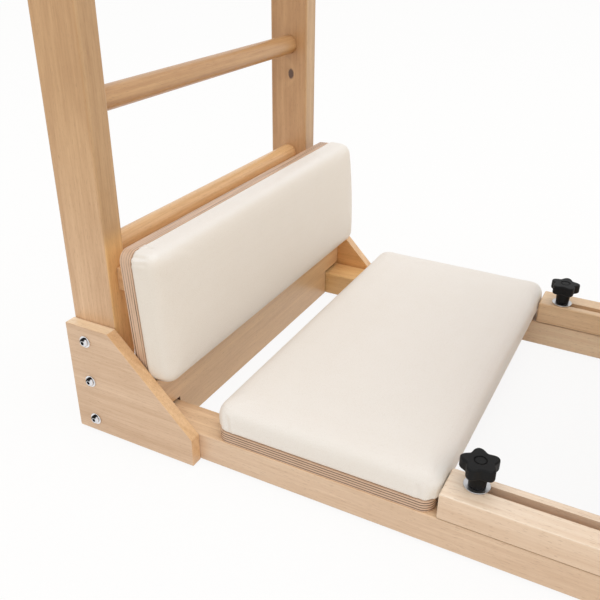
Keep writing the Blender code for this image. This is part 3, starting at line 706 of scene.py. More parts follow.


# Post beech: its tints are painted light. The broad sides are lighter low down, the narrow sides by
# the foot much lighter as bounce in the back pad's shade, and the other narrow sides a little
# cooler.
POST_BEECH = Timber("post_beech", Grain.ALONG_Z, (0.65, 0.395, 0.190), (0.45, 0.238, 0.098),
                    (-0.60, 0.16), 0.055, 80.0,
                    tints={Face.LOW: (1.32, 1.50, 1.98), Face.CUT: (0.95, 0.99, 1.04),
                           Face.FOOT: (1.62, 1.68, 1.52)})
# Far post beech: a darker copy of the post beech, as painted shade. Its tints, lighter low on the
# broad sides and on the narrow sides, are painted light. The knot is real.
FAR_POST_BEECH = Timber("far_post_beech", Grain.ALONG_Z, (0.60, 0.35, 0.165),
                        (0.425, 0.218, 0.088), (-0.60, 0.16), 0.040, 80.0,
                        tints={Face.LOW: (1.25, 1.36, 1.58), Face.CUT: (1.06, 1.17, 1.26)},
                        knot=(-0.6795, 0.2897, 0.4650))
# Rung beech: the darker, warmer underside is painted shade.
RUNG_BEECH = Timber("rung_beech", Grain.ALONG_Y, (0.61, 0.36, 0.165), (0.41, 0.205, 0.080),
                    (-0.62, -0.06), tints={Face.UNDER: (0.90, 0.82, 0.66)})
# Lowest rung: a lighter copy of the rung beech, as painted light.
LOW_RUNG_BEECH = Timber("low_rung_beech", Grain.ALONG_Y, (0.86, 0.555, 0.28),
                        (0.62, 0.35, 0.145), (-0.64, 0.22))
# Rail beech: the lighter tops and ends are painted light.
RAIL_BEECH = Timber("rail_beech", Grain.ALONG_X, (0.84, 0.63, 0.45), (0.63, 0.42, 0.265),
                    (0.12, -0.16), tints={Face.CUT: (1.14, 1.12, 1.04)})
# Far rail beech: a lighter copy of the rail beech, as painted light. Its slightly darker tops and
# ends, and its darker, warmer end by the ladder under the pads, are painted shade.
FAR_RAIL_BEECH = Timber("far_rail_beech", Grain.ALONG_X, (0.98, 0.79, 0.56), (0.82, 0.58, 0.37),
                        (0.12, -0.16),
                        tints={Face.CUT: (0.97, 0.92, 0.89), Face.BACK: (0.90, 0.76, 0.50)})
# Beam beech: the dark line at its foot is painted shade in the gap over the rail, and the lighter
# tops and ends are painted light.
BEAM_BEECH = Timber("beam_beech", Grain.ALONG_X, (0.89, 0.695, 0.52), (0.70, 0.485, 0.32),
                    (0.18, 0.30), contrast=0.62, seam=BEAM_BOTTOM,
                    tints={Face.CUT: (1.12, 1.27, 1.40), Face.TOP: (1.08, 1.04, 1.02)})
# Far beam beech: a deeper copy of the beam beech, as painted shade, with the same painted shade
# line at its foot.
FAR_BEAM_BEECH = Timber("far_beam_beech", Grain.ALONG_X, (0.92, 0.67, 0.42), (0.70, 0.45, 0.24),
                        (0.18, 0.30), seam=BEAM_BOTTOM)
# Gusset beech: the lighter tops are painted light. The more orange cut faces are partly the cut
# grain's own colour and partly painted shade.
GUSSET_BEECH = Timber("gusset_beech", Grain.ALONG_X, (0.79, 0.565, 0.385), (0.58, 0.368, 0.215),
                      (0.10, 0.33),
                      tints={Face.CUT: (1.08, 0.99, 0.80), Face.TOP: (1.20, 1.47, 1.88)})
# Far gusset: its more orange side towards the camera is painted bounce light in the shade inside
# the frame.
FAR_GUSSET_BEECH = replace(GUSSET_BEECH, name="far_gusset_beech",
                           tints={**GUSSET_BEECH.tints, Face.INNER: (1.12, 0.94, 0.60)})
# Cross beech: its deep orange is painted bounce light in the gap under the pads, and its dark line
# over the rails is painted shade in the slits.
CROSS_BEECH = Timber("cross_beech", Grain.ALONG_Y, (0.87, 0.60, 0.34), (0.68, 0.43, 0.225),
                     (-0.70, 0.02), seam=RAIL_TOP + 0.0040, seam_reach=RAIL_INNER - 0.0016)
BATTEN_BEECH = Timber("batten_beech", Grain.ALONG_Y, (0.76, 0.48, 0.25), (0.54, 0.30, 0.14),
                      (-0.70, 0.02))
INNER_BEECH = Timber("inner_beech", Grain.ALONG_Y, (0.74, 0.51, 0.31), (0.54, 0.33, 0.18),
                     (0.30, -0.20))
CHROME = PlatedMetal("bright_chrome", (0.86, 0.86, 0.87), (0.70, 0.70, 0.71), 0.10, "chrome")
SOCKET_STEEL = PlatedMetal("socket_steel", (0.80, 0.80, 0.82), (0.55, 0.55, 0.57), 0.10,
                           "chrome", "grime")
WASHER_STEEL = PlatedMetal("washer_steel", (0.60, 0.60, 0.61), (0.42, 0.42, 0.43), 0.26, "chrome")
ZINC = PlatedMetal("dull_zinc", (0.66, 0.67, 0.68), (0.48, 0.49, 0.50), 0.24, "steel")
# The back pad and the deck share one vinyl. The deck's lighter copy is painted light, and the
# lit-face tints paint the pad's top and the deck's end towards the barrel lighter.
PAD_VINYL = Vinyl("pad_vinyl", (0.865, 0.805, 0.73), (0.83, 0.765, 0.675),
                  (1.06, 1.10, 1.16), "Z")
BARREL_VINYL = Vinyl("barrel_vinyl", (0.80, 0.755, 0.705), (0.765, 0.71, 0.645))
DECK_VINYL = Vinyl("deck_vinyl", (0.91, 0.868, 0.822), (0.877, 0.825, 0.757),
                   (1.08, 1.11, 1.13), "X")
BLACK = BlackPlastic()
RUBBER = Rubber()


# ---------------------------------------------------------------- workbench


def arc(middle: Flat, radius: float, start: float, end: float, steps: int) -> list[Flat]:
    """Points on an arc, both ends included."""
    turns = [start + (end - start) * i / steps for i in range(steps + 1)]
    return [(middle[0] + radius * math.cos(a), middle[1] + radius * math.sin(a)) for a in turns]


def rounded(corners: Sequence[tuple[float, float, float]], steps: int) -> list[Flat]:
    """An outline with rounded corners.

    Args:
        corners: Each corner's place and radius, in order round the outline.
        steps: Steps in each rounded corner.

    Returns:
        The outline's points.
    """
    points: list[Flat] = []
    for i, (x, y, radius) in enumerate(corners):
        if radius <= 0:
            points.append((x, y))
            continue
        here = Vector((x, y))
        back = (Vector(corners[i - 1][:2]) - here).normalized()
        on = (Vector(corners[(i + 1) % len(corners)][:2]) - here).normalized()
        half = back.angle(on) / 2
        centre = here + (back + on).normalized() * (radius / math.sin(half))
        first, last = (here + way * (radius / math.tan(half)) for way in (back, on))
        begin = math.atan2(first.y - centre.y, first.x - centre.x)
        sweep = math.atan2(last.y - centre.y, last.x - centre.x) - begin
        sweep = (sweep + math.pi) % (2 * math.pi) - math.pi
        points += arc((centre.x, centre.y), radius, begin, begin + sweep, steps)
    return points


def oblong(low: Flat, high: Flat, corner: float, steps: int) -> list[Flat]:
    """A rectangle with rounded corners.

    Args:
        low: Its corner with the least of both coordinates.
        high: Its opposite corner.
        corner: The radius of its corners.
        steps: Steps in each corner.

    Returns:
        The outline's points.
    """
    (left, foot), (right, top) = low, high
    return rounded([(right, top, corner), (left, top, corner), (left, foot, corner),
                    (right, foot, corner)], steps)


class Bench:
    """Blender's own tools, used as by hand, each on a clean selection."""

    @staticmethod
    def clear() -> None:
        """Leave edit mode and deselect everything."""
        if bpy.context.object and bpy.context.object.mode != "OBJECT":
            bpy.ops.object.mode_set(mode="OBJECT")
        bpy.ops.object.select_all(action="DESELECT")

    @classmethod
    def take(cls, obj: Object) -> None:
        """Make one object the only selected and the active one.

        Args:
            obj: The object.
        """
        cls.clear()
        obj.select_set(True)
        bpy.context.view_layer.objects.active = obj

    @classmethod
    def edit(cls, obj: Object) -> None:
        """Enter edit mode with all of an object's edges selected.

        Args:
            obj: The object.
        """
        cls.take(obj)
        bpy.ops.object.mode_set(mode="EDIT")
        bpy.ops.mesh.select_mode(type="EDGE")
        bpy.ops.mesh.select_all(action="SELECT")

    @classmethod
    def outward(cls, obj: Object) -> Object:
        """Merge doubles and turn every face outwards.

        Args:
            obj: A closed form.

        Returns:
            The same object.
        """
        cls.edit(obj)
        bpy.ops.mesh.remove_doubles(threshold=0.000004)
        bpy.ops.mesh.normals_make_consistent(inside=False)
        cls.clear()
        return obj

    @staticmethod
    def added(name: str) -> Object:
        """Name the object that was just added, and put its place in its mesh.

        Args:
            name: The name.

        Returns:
            The object.
        """
        obj = bpy.context.object
        obj.name = obj.data.name = name
        bpy.ops.object.transform_apply(location=True, rotation=True, scale=True)
        return obj

    @classmethod
    def loft(cls, name: str, rings: Sequence[Sequence[Point]]) -> Object:
        """A closed form through rings of points, with flat ends.

        Args:
            name: The object's name.
            rings: Rings with the same number of points, in matching order.

        Returns:
            The object.
        """
        cls.clear()
        bpy.ops.mesh.primitive_circle_add(vertices=len(rings[0]), radius=1.0, fill_type="NGON")
        obj = cls.added(name)
        for vertex, point in zip(obj.data.vertices, rings[0]):
            vertex.co = point
        cls.edit(obj)

        def key(point: Sequence[float]) -> tuple[int, ...]:
            """A place rounded to a hundredth of a millimetre."""
            return tuple(int(round(value * 1e5)) for value in point)

        for last, ring in zip(rings, rings[1:]):
            bpy.ops.mesh.extrude_region_move(TRANSFORM_OT_translate={"value": (0.0, 0.0, 0.0)})
            shape = bmesh.from_edit_mesh(obj.data)
            after = {key(Vector(old)): new for old, new in zip(last, ring)}
            for vertex in shape.verts:
                if vertex.select:
                    vertex.co = after[key(vertex.co)]
            bmesh.update_edit_mesh(obj.data)
        return cls.outward(obj)

    @classmethod
    def slab(cls, name: str, outline: Sequence[Flat], axis: Grain, low: float,
             high: float) -> Object:
        """A board: an outline pushed along an axis.

        Args:
            name: The object's name.
            outline: The outline in the two other axes, in their order.
            axis: The axis that it is pushed along.
            low: Where it starts on that axis.
            high: Where it ends.

        Returns:
            The object.
        """
        at = axis.value
        return cls.loft(name, [[(*point[:at], place, *point[at:]) for point in outline]
                               for place in (low, high)])

    @classmethod
    def block(cls, name: str, low: Point, high: Point) -> Object:
        """A square-edged block, which the caller goes on to shape.

        Args:
            name: The object's name.
            low: Its corner with the least X, Y and Z.
            high: Its opposite corner.

        Returns:
            The object.
        """
        cls.clear()
        middle = [(a + b) / 2 for a, b in zip(low, high)]
        bpy.ops.mesh.primitive_cube_add(size=1.0, location=middle)
        bpy.context.object.scale = [b - a for a, b in zip(low, high)]
        return cls.added(name)

    @classmethod
    def raised(cls, name: str, profile: Sequence[Flat], sides: int, fill: str) -> Object:
        """Rings about Z, raised one from another.

        Args:
            name: The object's name.
            profile: (radius, height) of each ring.
            sides: Faces round it.
            fill: How the first ring is filled.

        Returns:
            The object, in edit mode.
        """
        cls.clear()
        radius, height = profile[0]
        bpy.ops.mesh.primitive_circle_add(vertices=sides, radius=radius, fill_type=fill,
                                          location=(0, 0, height))
        obj = cls.added(name)
        cls.edit(obj)
        for next_radius, next_height in profile[1:]:
            lift = (0, 0, next_height - height)
            bpy.ops.mesh.extrude_region_move(TRANSFORM_OT_translate={"value": lift})
            share = next_radius / radius
            bpy.ops.transform.resize(value=(share, share, 1.0),
                                     center_override=(0, 0, next_height))
            radius, height = next_radius, next_height
        return obj

    @classmethod
    def turned(cls, name: str, profile: Sequence[Flat], sides: int) -> Object:
        """A solid turned about Z, from its lowest ring of (radius, height) to its highest."""
        return cls.outward(cls.raised(name, profile, sides, "NGON"))

    @classmethod
    def hoop(cls, name: str, profile: Sequence[Flat], sides: int) -> Object:
        """A ring turned about Z.

        Args:
            name: The object's name.
            profile: (radius, height) round its section.
            sides: Faces round it.

        Returns:
            The object.
        """
        obj = cls.raised(name, profile, sides, "NOTHING")
        bpy.ops.mesh.select_all(action="DESELECT")
        bpy.ops.mesh.select_non_manifold()
        bpy.ops.mesh.bridge_edge_loops()
        return cls.outward(obj)

    @classmethod
    def rod(cls, name: str, radius: float, start: Point, end: Point, sides: int = 24) -> Object:
        """A round bar, used as a drill.

        Args:
            name: The object's name.
            radius: Its radius.
            start: Where it starts.
            end: Where it ends.
            sides: Faces round it.

        Returns:
            The object.
        """
        a, b = Vector(start), Vector(end)
        obj = cls.turned(name, [(radius, 0.0), (radius, (b - a).length)], sides)
        turn = (b - a).to_track_quat("Z", "Y").to_matrix().to_4x4()
        obj.data.transform(Matrix.Translation(a) @ turn)
        return obj

    @classmethod
    def drill(cls, x: float, z: float, face: float, depth: float) -> Object:
        """A drill for a bolt that enters the right side's face, to a depth."""
        return cls.rod("bolt_hole", BOLT_HOLE, (x, -face - SPARE, z), (x, -face + depth, z))

    @classmethod
    def apply(cls, obj: Object, kind: str, **settings: object) -> Object:
        """Add a modifier and apply it at once.

        Args:
            obj: The object.
            kind: The modifier's type.
            settings: Its settings.

        Returns:
            The same object.
        """
        cls.take(obj)
        modifier = obj.modifiers.new(kind.lower(), kind)
        for key, value in settings.items():
            setattr(modifier, key, value)
        bpy.ops.object.modifier_apply(modifier=modifier.name)
        return obj

    @classmethod
    def soften(cls, obj: Object, width: float, segments: int = 3, angle: float = 38) -> Object:
        """Round the edges that are sharper than an angle in degrees."""
        return cls.apply(obj, "BEVEL", width=width, segments=segments, limit_method="ANGLE",
                         angle_limit=math.radians(angle), use_clamp_overlap=True)

    @staticmethod
    def discard(*objects: Object) -> None:
        """Throw away tools and patterns."""
        for obj in objects:
            bpy.data.objects.remove(obj, do_unlink=True)

    @classmethod
    def merge(cls, obj: Object, operation: str, *tools: Object) -> Object:
        """Join other solids to an object or cut them out of it, and throw them away.

        Args:
            obj: The object.
            operation: UNION or DIFFERENCE.
            tools: The other solids.

        Returns:
            The same object.
        """
        for tool in tools:
            cls.apply(obj, "BOOLEAN", operation=operation, solver="EXACT", object=tool)
        cls.discard(*tools)
        return obj

    @classmethod
    def carve(cls, obj: Object, *tools: Object) -> Object:
        """Cut the tools' shapes out of an object."""
        return cls.merge(obj, "DIFFERENCE", *tools)

    @staticmethod
    def copy(obj: Object, name: str, matrix: Matrix) -> Object:
        """A copy with its own mesh.

        Args:
            obj: The pattern.
            name: The copy's name.
            matrix: What carries it to its place; it may mirror it.

        Returns:
            The copy.
        """
        other = obj.copy()
        other.data = obj.data.copy()
        other.name = other.data.name = name
        bpy.context.scene.collection.objects.link(other)
        other.data.transform(matrix)
        if matrix.determinant() < 0:
            other.data.flip_normals()
        return other

    @classmethod
    def settle(cls, obj: Object, finish: Finish, body: str, *nodes: str, angle: float = 32,
               weighted: bool = True) -> None:
        """Finish a piece: shading, material, body and the CAD nodes that it stands for.

        Args:
            obj: The piece.
            finish: Its finish.
            body: The body that it moves with.
            nodes: The CAD nodes that it replaces.
            angle: Edges below this angle, in degrees, are shaded smooth.
            weighted: Whether flat faces keep their own normals.
        """
        obj.data.materials.clear()
        obj.data.materials.append(finish.material())
        cls.take(obj)
        bpy.ops.object.shade_smooth_by_angle(angle=math.radians(angle))
        if weighted:
            cls.apply(obj, "WEIGHTED_NORMAL", keep_sharp=True)
        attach(obj, body)
        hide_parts(*nodes)
        LOG.info("%s: %d faces, %s, for %s", obj.name, len(obj.data.polygons), finish.name,
                 ", ".join(nodes))
        cls.clear()

    @classmethod
    def settle_pair(cls, right: Object, finishes: Sequence[Finish], body: str,
                    node: str) -> None:
        """Finish a piece of the right side and its mirror image on the left one.

        Args:
            right: The piece, whose name ends in right.
            finishes: The finishes of the right and of the left piece.
            body: The body that both move with.
            node: The CAD nodes' name without the side.
        """
        name = right.name.removesuffix(Side.RIGHT.word) + Side.LEFT.word
        left = cls.copy(right, name, Matrix.Scale(-1, 4, (0, 1, 0)))
        for piece, finish, side in zip((right, left), finishes, Side):
            cls.settle(piece, finish, body, f"{node}_{side.word}")

    @staticmethod
    def dress(finish: Finish, *nodes: str) -> None:
        """Give CAD nodes that stay their finished material.

        Args:
            finish: The finish.
            nodes: The nodes' names.
        """
        for node in nodes:
            obj = bpy.data.objects[node]
            if not obj.material_slots:
                obj.data.materials.append(finish.material())
            for slot in obj.material_slots:
                slot.material = finish.material()
            LOG.info("%s: kept, %s", node, finish.name)


# ---------------------------------------------------------------- sub-assemblies


@dataclass
class BaseFrame:
    """The two long rails, their feet, the end board and the cross board."""

    edge: float = 0.003
    stud_depth: float = 0.0363
    cross_back: float = -0.6015
    cross_front: float = -0.5815
    cross_top: float = 0.1173
    cross_play: float = 0.0009
    cross_lift: float = 0.0033
    cross_corner: float = 0.012
    packing_inset: float = 0.002
    packing_front: float = 0.007    # how far the packing lies behind the board's front
    packing_bite: float = 0.004     # how far it reaches up into the board

    def build_cross_board(self) -> None:
        """Make the board that is notched over the rails, with the packings in its slits."""
        low, shoulder = RAIL_INNER - self.cross_play, RAIL_TOP + self.cross_lift
        half = [(low, RAIL_BOTTOM, 0.0), (low, shoulder, 0.0),
                (RAIL_OUTER, shoulder, self.cross_corner), (RAIL_OUTER, self.cross_top, 0.0)]
        outline = rounded(half + [(-y, z, radius) for y, z, radius in reversed(half)], 8)
        board = Bench.slab("notched_cross_board", outline, Grain.ALONG_X, self.cross_back,
                           self.cross_front)
        Bench.soften(board, 0.0014)
        for side in Side:
            ends = sorted((side.sign * (RAIL_INNER + self.packing_inset),
                           side.sign * (RAIL_OUTER - self.cross_corner)))
            packing = Bench.block(
                "packing", (self.cross_back + self.packing_inset, ends[0], RAIL_TOP + GAP),
                (self.cross_front - self.packing_front, ends[1], shoulder + self.packing_bite))
            Bench.merge(board, "UNION", packing)
        Bench.settle(board, CROSS_BEECH, "base", "cross_board")

    def build(self) -> None:
        """Make the rails and the cross board and dress what stays."""
        rail = Bench.block("long_rail_right", (LADDER_BACK, -RAIL_OUTER, RAIL_BOTTOM),
                           (FAR_END, -RAIL_INNER, RAIL_TOP))
        Bench.soften(rail, self.edge, 4)
        stud_hole = Bench.rod("stud_hole", STUD_HOLE, (STUD_X, -STUD_Y, RAIL_TOP + SPARE),
                              (STUD_X, -STUD_Y, RAIL_TOP - self.stud_depth))
        Bench.carve(rail, stud_hole, Bench.drill(BOLT_X, BOLT_HEIGHTS[-1], RAIL_OUTER, BOLT_BITE))
        Bench.settle_pair(rail, (RAIL_BEECH, FAR_RAIL_BEECH), "base", "base_rail")
        self.build_cross_board()
        Bench.dress(INNER_BEECH, "end_board")
        for side in Side:
            Bench.dress(ZINC, f"clamp_stud_{side.word}")
            Bench.dress(RUBBER, *(f"rubber_foot_{side.word}_{number}" for number in (1, 2)))


@dataclass
class Ladder:
    """Two round-topped posts and four rungs let into them."""

    front: float = -0.6455
    inner: float = 0.2897
    bottom: float = 0.0526
    top: float = 1.0043
    top_radius: float = 0.026
    edge: float = 0.004
    rung_x: float = -0.6855
    rung_radius: float = 0.018
    rung_half: float = 0.3114
    rung_chamfer: float = 0.002
    rung_stub: float = 0.05          # end of a rung before its even steps
    rung_steps: int = 6
    rung_heights: tuple[float, ...] = (0.3023, 0.5213, 0.7403, 0.9593)

    def build(self) -> None:
        """Make both posts and the rungs."""
        outline = rounded([(LADDER_BACK, self.bottom, 0), (self.front, self.bottom, 0),
                           (self.front, self.top, self.top_radius),
                           (LADDER_BACK, self.top, self.top_radius)], 12)
        post = Bench.slab("ladder_upright_right", outline, Grain.ALONG_Y, -RAIL_OUTER, -self.inner)
        Bench.soften(post, self.edge, 4)
        for height in self.rung_heights:
            Bench.carve(post, Bench.rod("rung_seat", self.rung_radius + GAP,
                                        (self.rung_x, -self.inner + 2 * SPARE, height),
                                        (self.rung_x, -self.rung_half - GAP, height), 40))
        for height in BOLT_HEIGHTS[:2]:
            Bench.carve(post, Bench.drill(BOLT_X, height, RAIL_OUTER, BOLT_BITE))
        Bench.settle_pair(post, (POST_BEECH, FAR_POST_BEECH), "base", "ladder_post")
        self.build_rungs()

    def build_rungs(self) -> None:
        """Turn one rung and copy it to the four heights."""
        half, radius = self.rung_half, self.rung_radius
        small, start = radius - self.rung_chamfer, -half + self.rung_stub
        length = 2 * (half - self.rung_stub)
        profile = [(small, -half), (radius, -half + self.rung_chamfer)]
        profile += [(radius, start + length * step / self.rung_steps)
                    for step in range(self.rung_steps + 1)]
        profile += [(radius, half - self.rung_chamfer), (small, half)]
        rung = Bench.turned("turned_rung", profile, 48)
        for number, height in enumerate(self.rung_heights, 1):
            seat = Matrix.Translation((self.rung_x, 0, height)) @ Matrix.Rotation(QUARTER, 4, "X")
            piece = Bench.copy(rung, f"turned_rung_{number}", seat)
            Bench.settle(piece, LOW_RUNG_BEECH if number == 1 else RUNG_BEECH, "base",
                         f"ladder_rung_{number}")
        Bench.discard(rung)


@dataclass
class Fastener:
    """A domed bolt with a hexagon socket, and its washer, about Z with the seat at 0."""

    head_radius: float = 0.0072
    head_height: float = 0.0044
    rim_height: float = 0.0009
    crown_radius: float = 0.0030
    head_edge: float = 0.0003
    shank_radius: float = 0.004
    tip_edge: float = 0.0008
    socket_radius: float = 0.0032
    socket_depth: float = 0.0026
    socket_margin: float = 0.00005
    washer_radius: float = 0.0098
    washer_thickness: float = 0.0015
    washer_edge: float = 0.0004
    dome_steps: int = 7
    dark_turn: float = 140.0         # the way, in degrees, that the painted dark reflection faces
    dark_spread: float = 96.0

    def bolt(self, name: str, shank: float) -> Object:
        """Turn a bolt.

        Args:
            name: The object's name.
            shank: The length of its shank.

        Returns:
            The bolt, with its painted shade kept at its points.
        """
        profile = [(self.shank_radius - self.tip_edge, -shank),
                   (self.shank_radius, -shank + self.tip_edge),
                   (self.shank_radius, 0.0), (self.head_radius - self.head_edge, 0.0),
                   (self.head_radius, self.head_edge), (self.head_radius, self.rim_height)]
        rise, round_off = self.head_height - self.rim_height, self.head_radius - self.crown_radius
        turns = [QUARTER * step / (self.dome_steps + 0.6) for step in range(1, self.dome_steps + 1)]
        profile += [(self.crown_radius + round_off * math.cos(turn),
                     self.rim_height + rise * math.sin(turn) / math.sin(turns[-1]))
                    for turn in turns]
        obj = Bench.turned(name, profile, 32)
        socket = Bench.turned("hex_socket",
                              [(self.socket_radius, self.head_height - self.socket_depth),
                               (self.socket_radius, self.head_height + 0.002)], 6)
        Bench.soften(Bench.carve(obj, socket), 0.00018, 2, 50)
        # painted shade at the points: near black in the socket, darker round the head's foot
        grime = obj.data.attributes.new("grime", "FLOAT", "POINT")
        for vertex, item in zip(obj.data.vertices, grime.data):
            reach = math.hypot(vertex.co.x, vertex.co.y)
            foot = 0.70 * min(1.0, max(0.0, (reach - 0.0060) / 0.0008))
            item.value = 0.97 if self.sunk(reach, vertex.co.z) else foot
        return obj

    def sunk(self, reach: float, height: float) -> bool:
        """Whether a place at a reach from the axis and a height lies in the socket."""
        in_bore = reach < self.socket_radius + self.socket_margin
        return in_bore and height < self.head_height - self.head_edge

    def stain(self, obj: Object, x: float, z: float, seat: float) -> None:
        """Paint shade on a placed bolt: black in its socket, and a painted dark reflection on its
        head's rim where it turns away from the light.

        Args:
            obj: The bolt, already in its place with its axis on Y.
            x: Its axis' place along the object.
            z: Its axis' height.
            seat: How far its seat is from the middle plane.
        """
        for vertex, item in zip(obj.data.vertices, obj.data.attributes["grime"].data):
            ahead, above = vertex.co.x - x, vertex.co.z - z
            reach = math.hypot(ahead, above)
            away = abs(math.degrees(math.atan2(above, ahead)) - self.dark_turn)
            rim = min(1.0, max(0.0, (reach - 0.0034) / 0.0004))
            rim *= min(1.0, max(0.0, (self.dark_spread - away) / 16.0))
            item.value = 1.0 if self.sunk(reach, abs(vertex.co.y) - seat) else rim

    def washer(self, name: str) -> Object:
        """Turn a flat washer with rounded rims.

        Args:
            name: The object's name.

        Returns:
            The washer.
        """
        outer, thick, bore = self.washer_radius, self.washer_thickness, BOLT_HOLE
        edge, small = self.washer_edge, self.washer_edge / 2
        return Bench.hoop(name, [(outer, edge), (outer, thick - edge), (outer - edge, thick),
                                 (bore + small, thick), (bore, thick - small), (bore, small),
                                 (bore + small, 0.0), (outer - edge, 0.0)], 40)


@dataclass
class Gussets:
    """The slanted boards that tie posts and rails, with their bolts and washers."""

    inner: float = 0.3300
    outer: float = 0.3500
    length: float = 0.224
    height: float = 0.193
    top_length: float = 0.081
    low_height: float = 0.048
    edge: float = 0.0013
    shank: float = 0.0504
    washer_seat: float = 0.3503
    head_seat: float = 0.3521
    first_spin: float = 17.0         # how far, in degrees, the sockets are turned
    spin_step: float = 41.0

    def build(self) -> None:
        """Make one side and mirror it."""
        back, low = LADDER_BACK, RAIL_BOTTOM
        outline = [(back, low), (back + self.length, low),
                   (back + self.length, low + self.low_height),
                   (back + self.top_length, low + self.height), (back, low + self.height)]
        board = Bench.slab("gusset_board_right", outline, Grain.ALONG_Y, -self.outer, -self.inner)
        Bench.soften(board, self.edge, 4, 25)
        depth = self.outer - self.inner + SPARE
        Bench.carve(board, *(Bench.drill(BOLT_X, height, self.outer, depth)
                             for height in BOLT_HEIGHTS))
        Bench.settle_pair(board, (GUSSET_BEECH, FAR_GUSSET_BEECH), "base", "gusset")
        self.build_bolts(Fastener())

    def build_bolts(self, fastener: Fastener) -> None:
        """Put a bolt and a washer in each hole.

        Args:
            fastener: The pattern of both.
        """
        bolt, washer = fastener.bolt("gusset_screw", self.shank), fastener.washer("gusset_washer")
        for side in Side:
            for number, height in enumerate(BOLT_HEIGHTS, 1):
                place = f"{side.word}_{number}"
                turn = math.radians(self.first_spin + self.spin_step * number)
                seat = side.seat(BOLT_X, self.head_seat, height) @ Matrix.Rotation(turn, 4, "Z")
                piece = Bench.copy(bolt, f"gusset_screw_{place}", seat)
                fastener.stain(piece, BOLT_X, height, self.head_seat)
                Bench.settle(piece, SOCKET_STEEL, "base", f"gusset_bolt_{place}")
                piece = Bench.copy(washer, f"gusset_disc_{place}",
                                   side.seat(BOLT_X, self.washer_seat, height))
                Bench.settle(piece, CHROME, "base", f"gusset_washer_{place}")
        Bench.discard(bolt, washer)


@dataclass(frozen=True)
class Fold:
    """A crease in a cushion's cover, on the flat cushion."""

    start: Point
    end: Point
    depth: float
    width: float
    ridge: float = 0.35              # the ridge's height for a groove of 1
    ridge_place: float = 1.9         # in widths from the groove's middle
    ridge_sharpness: float = 1.4


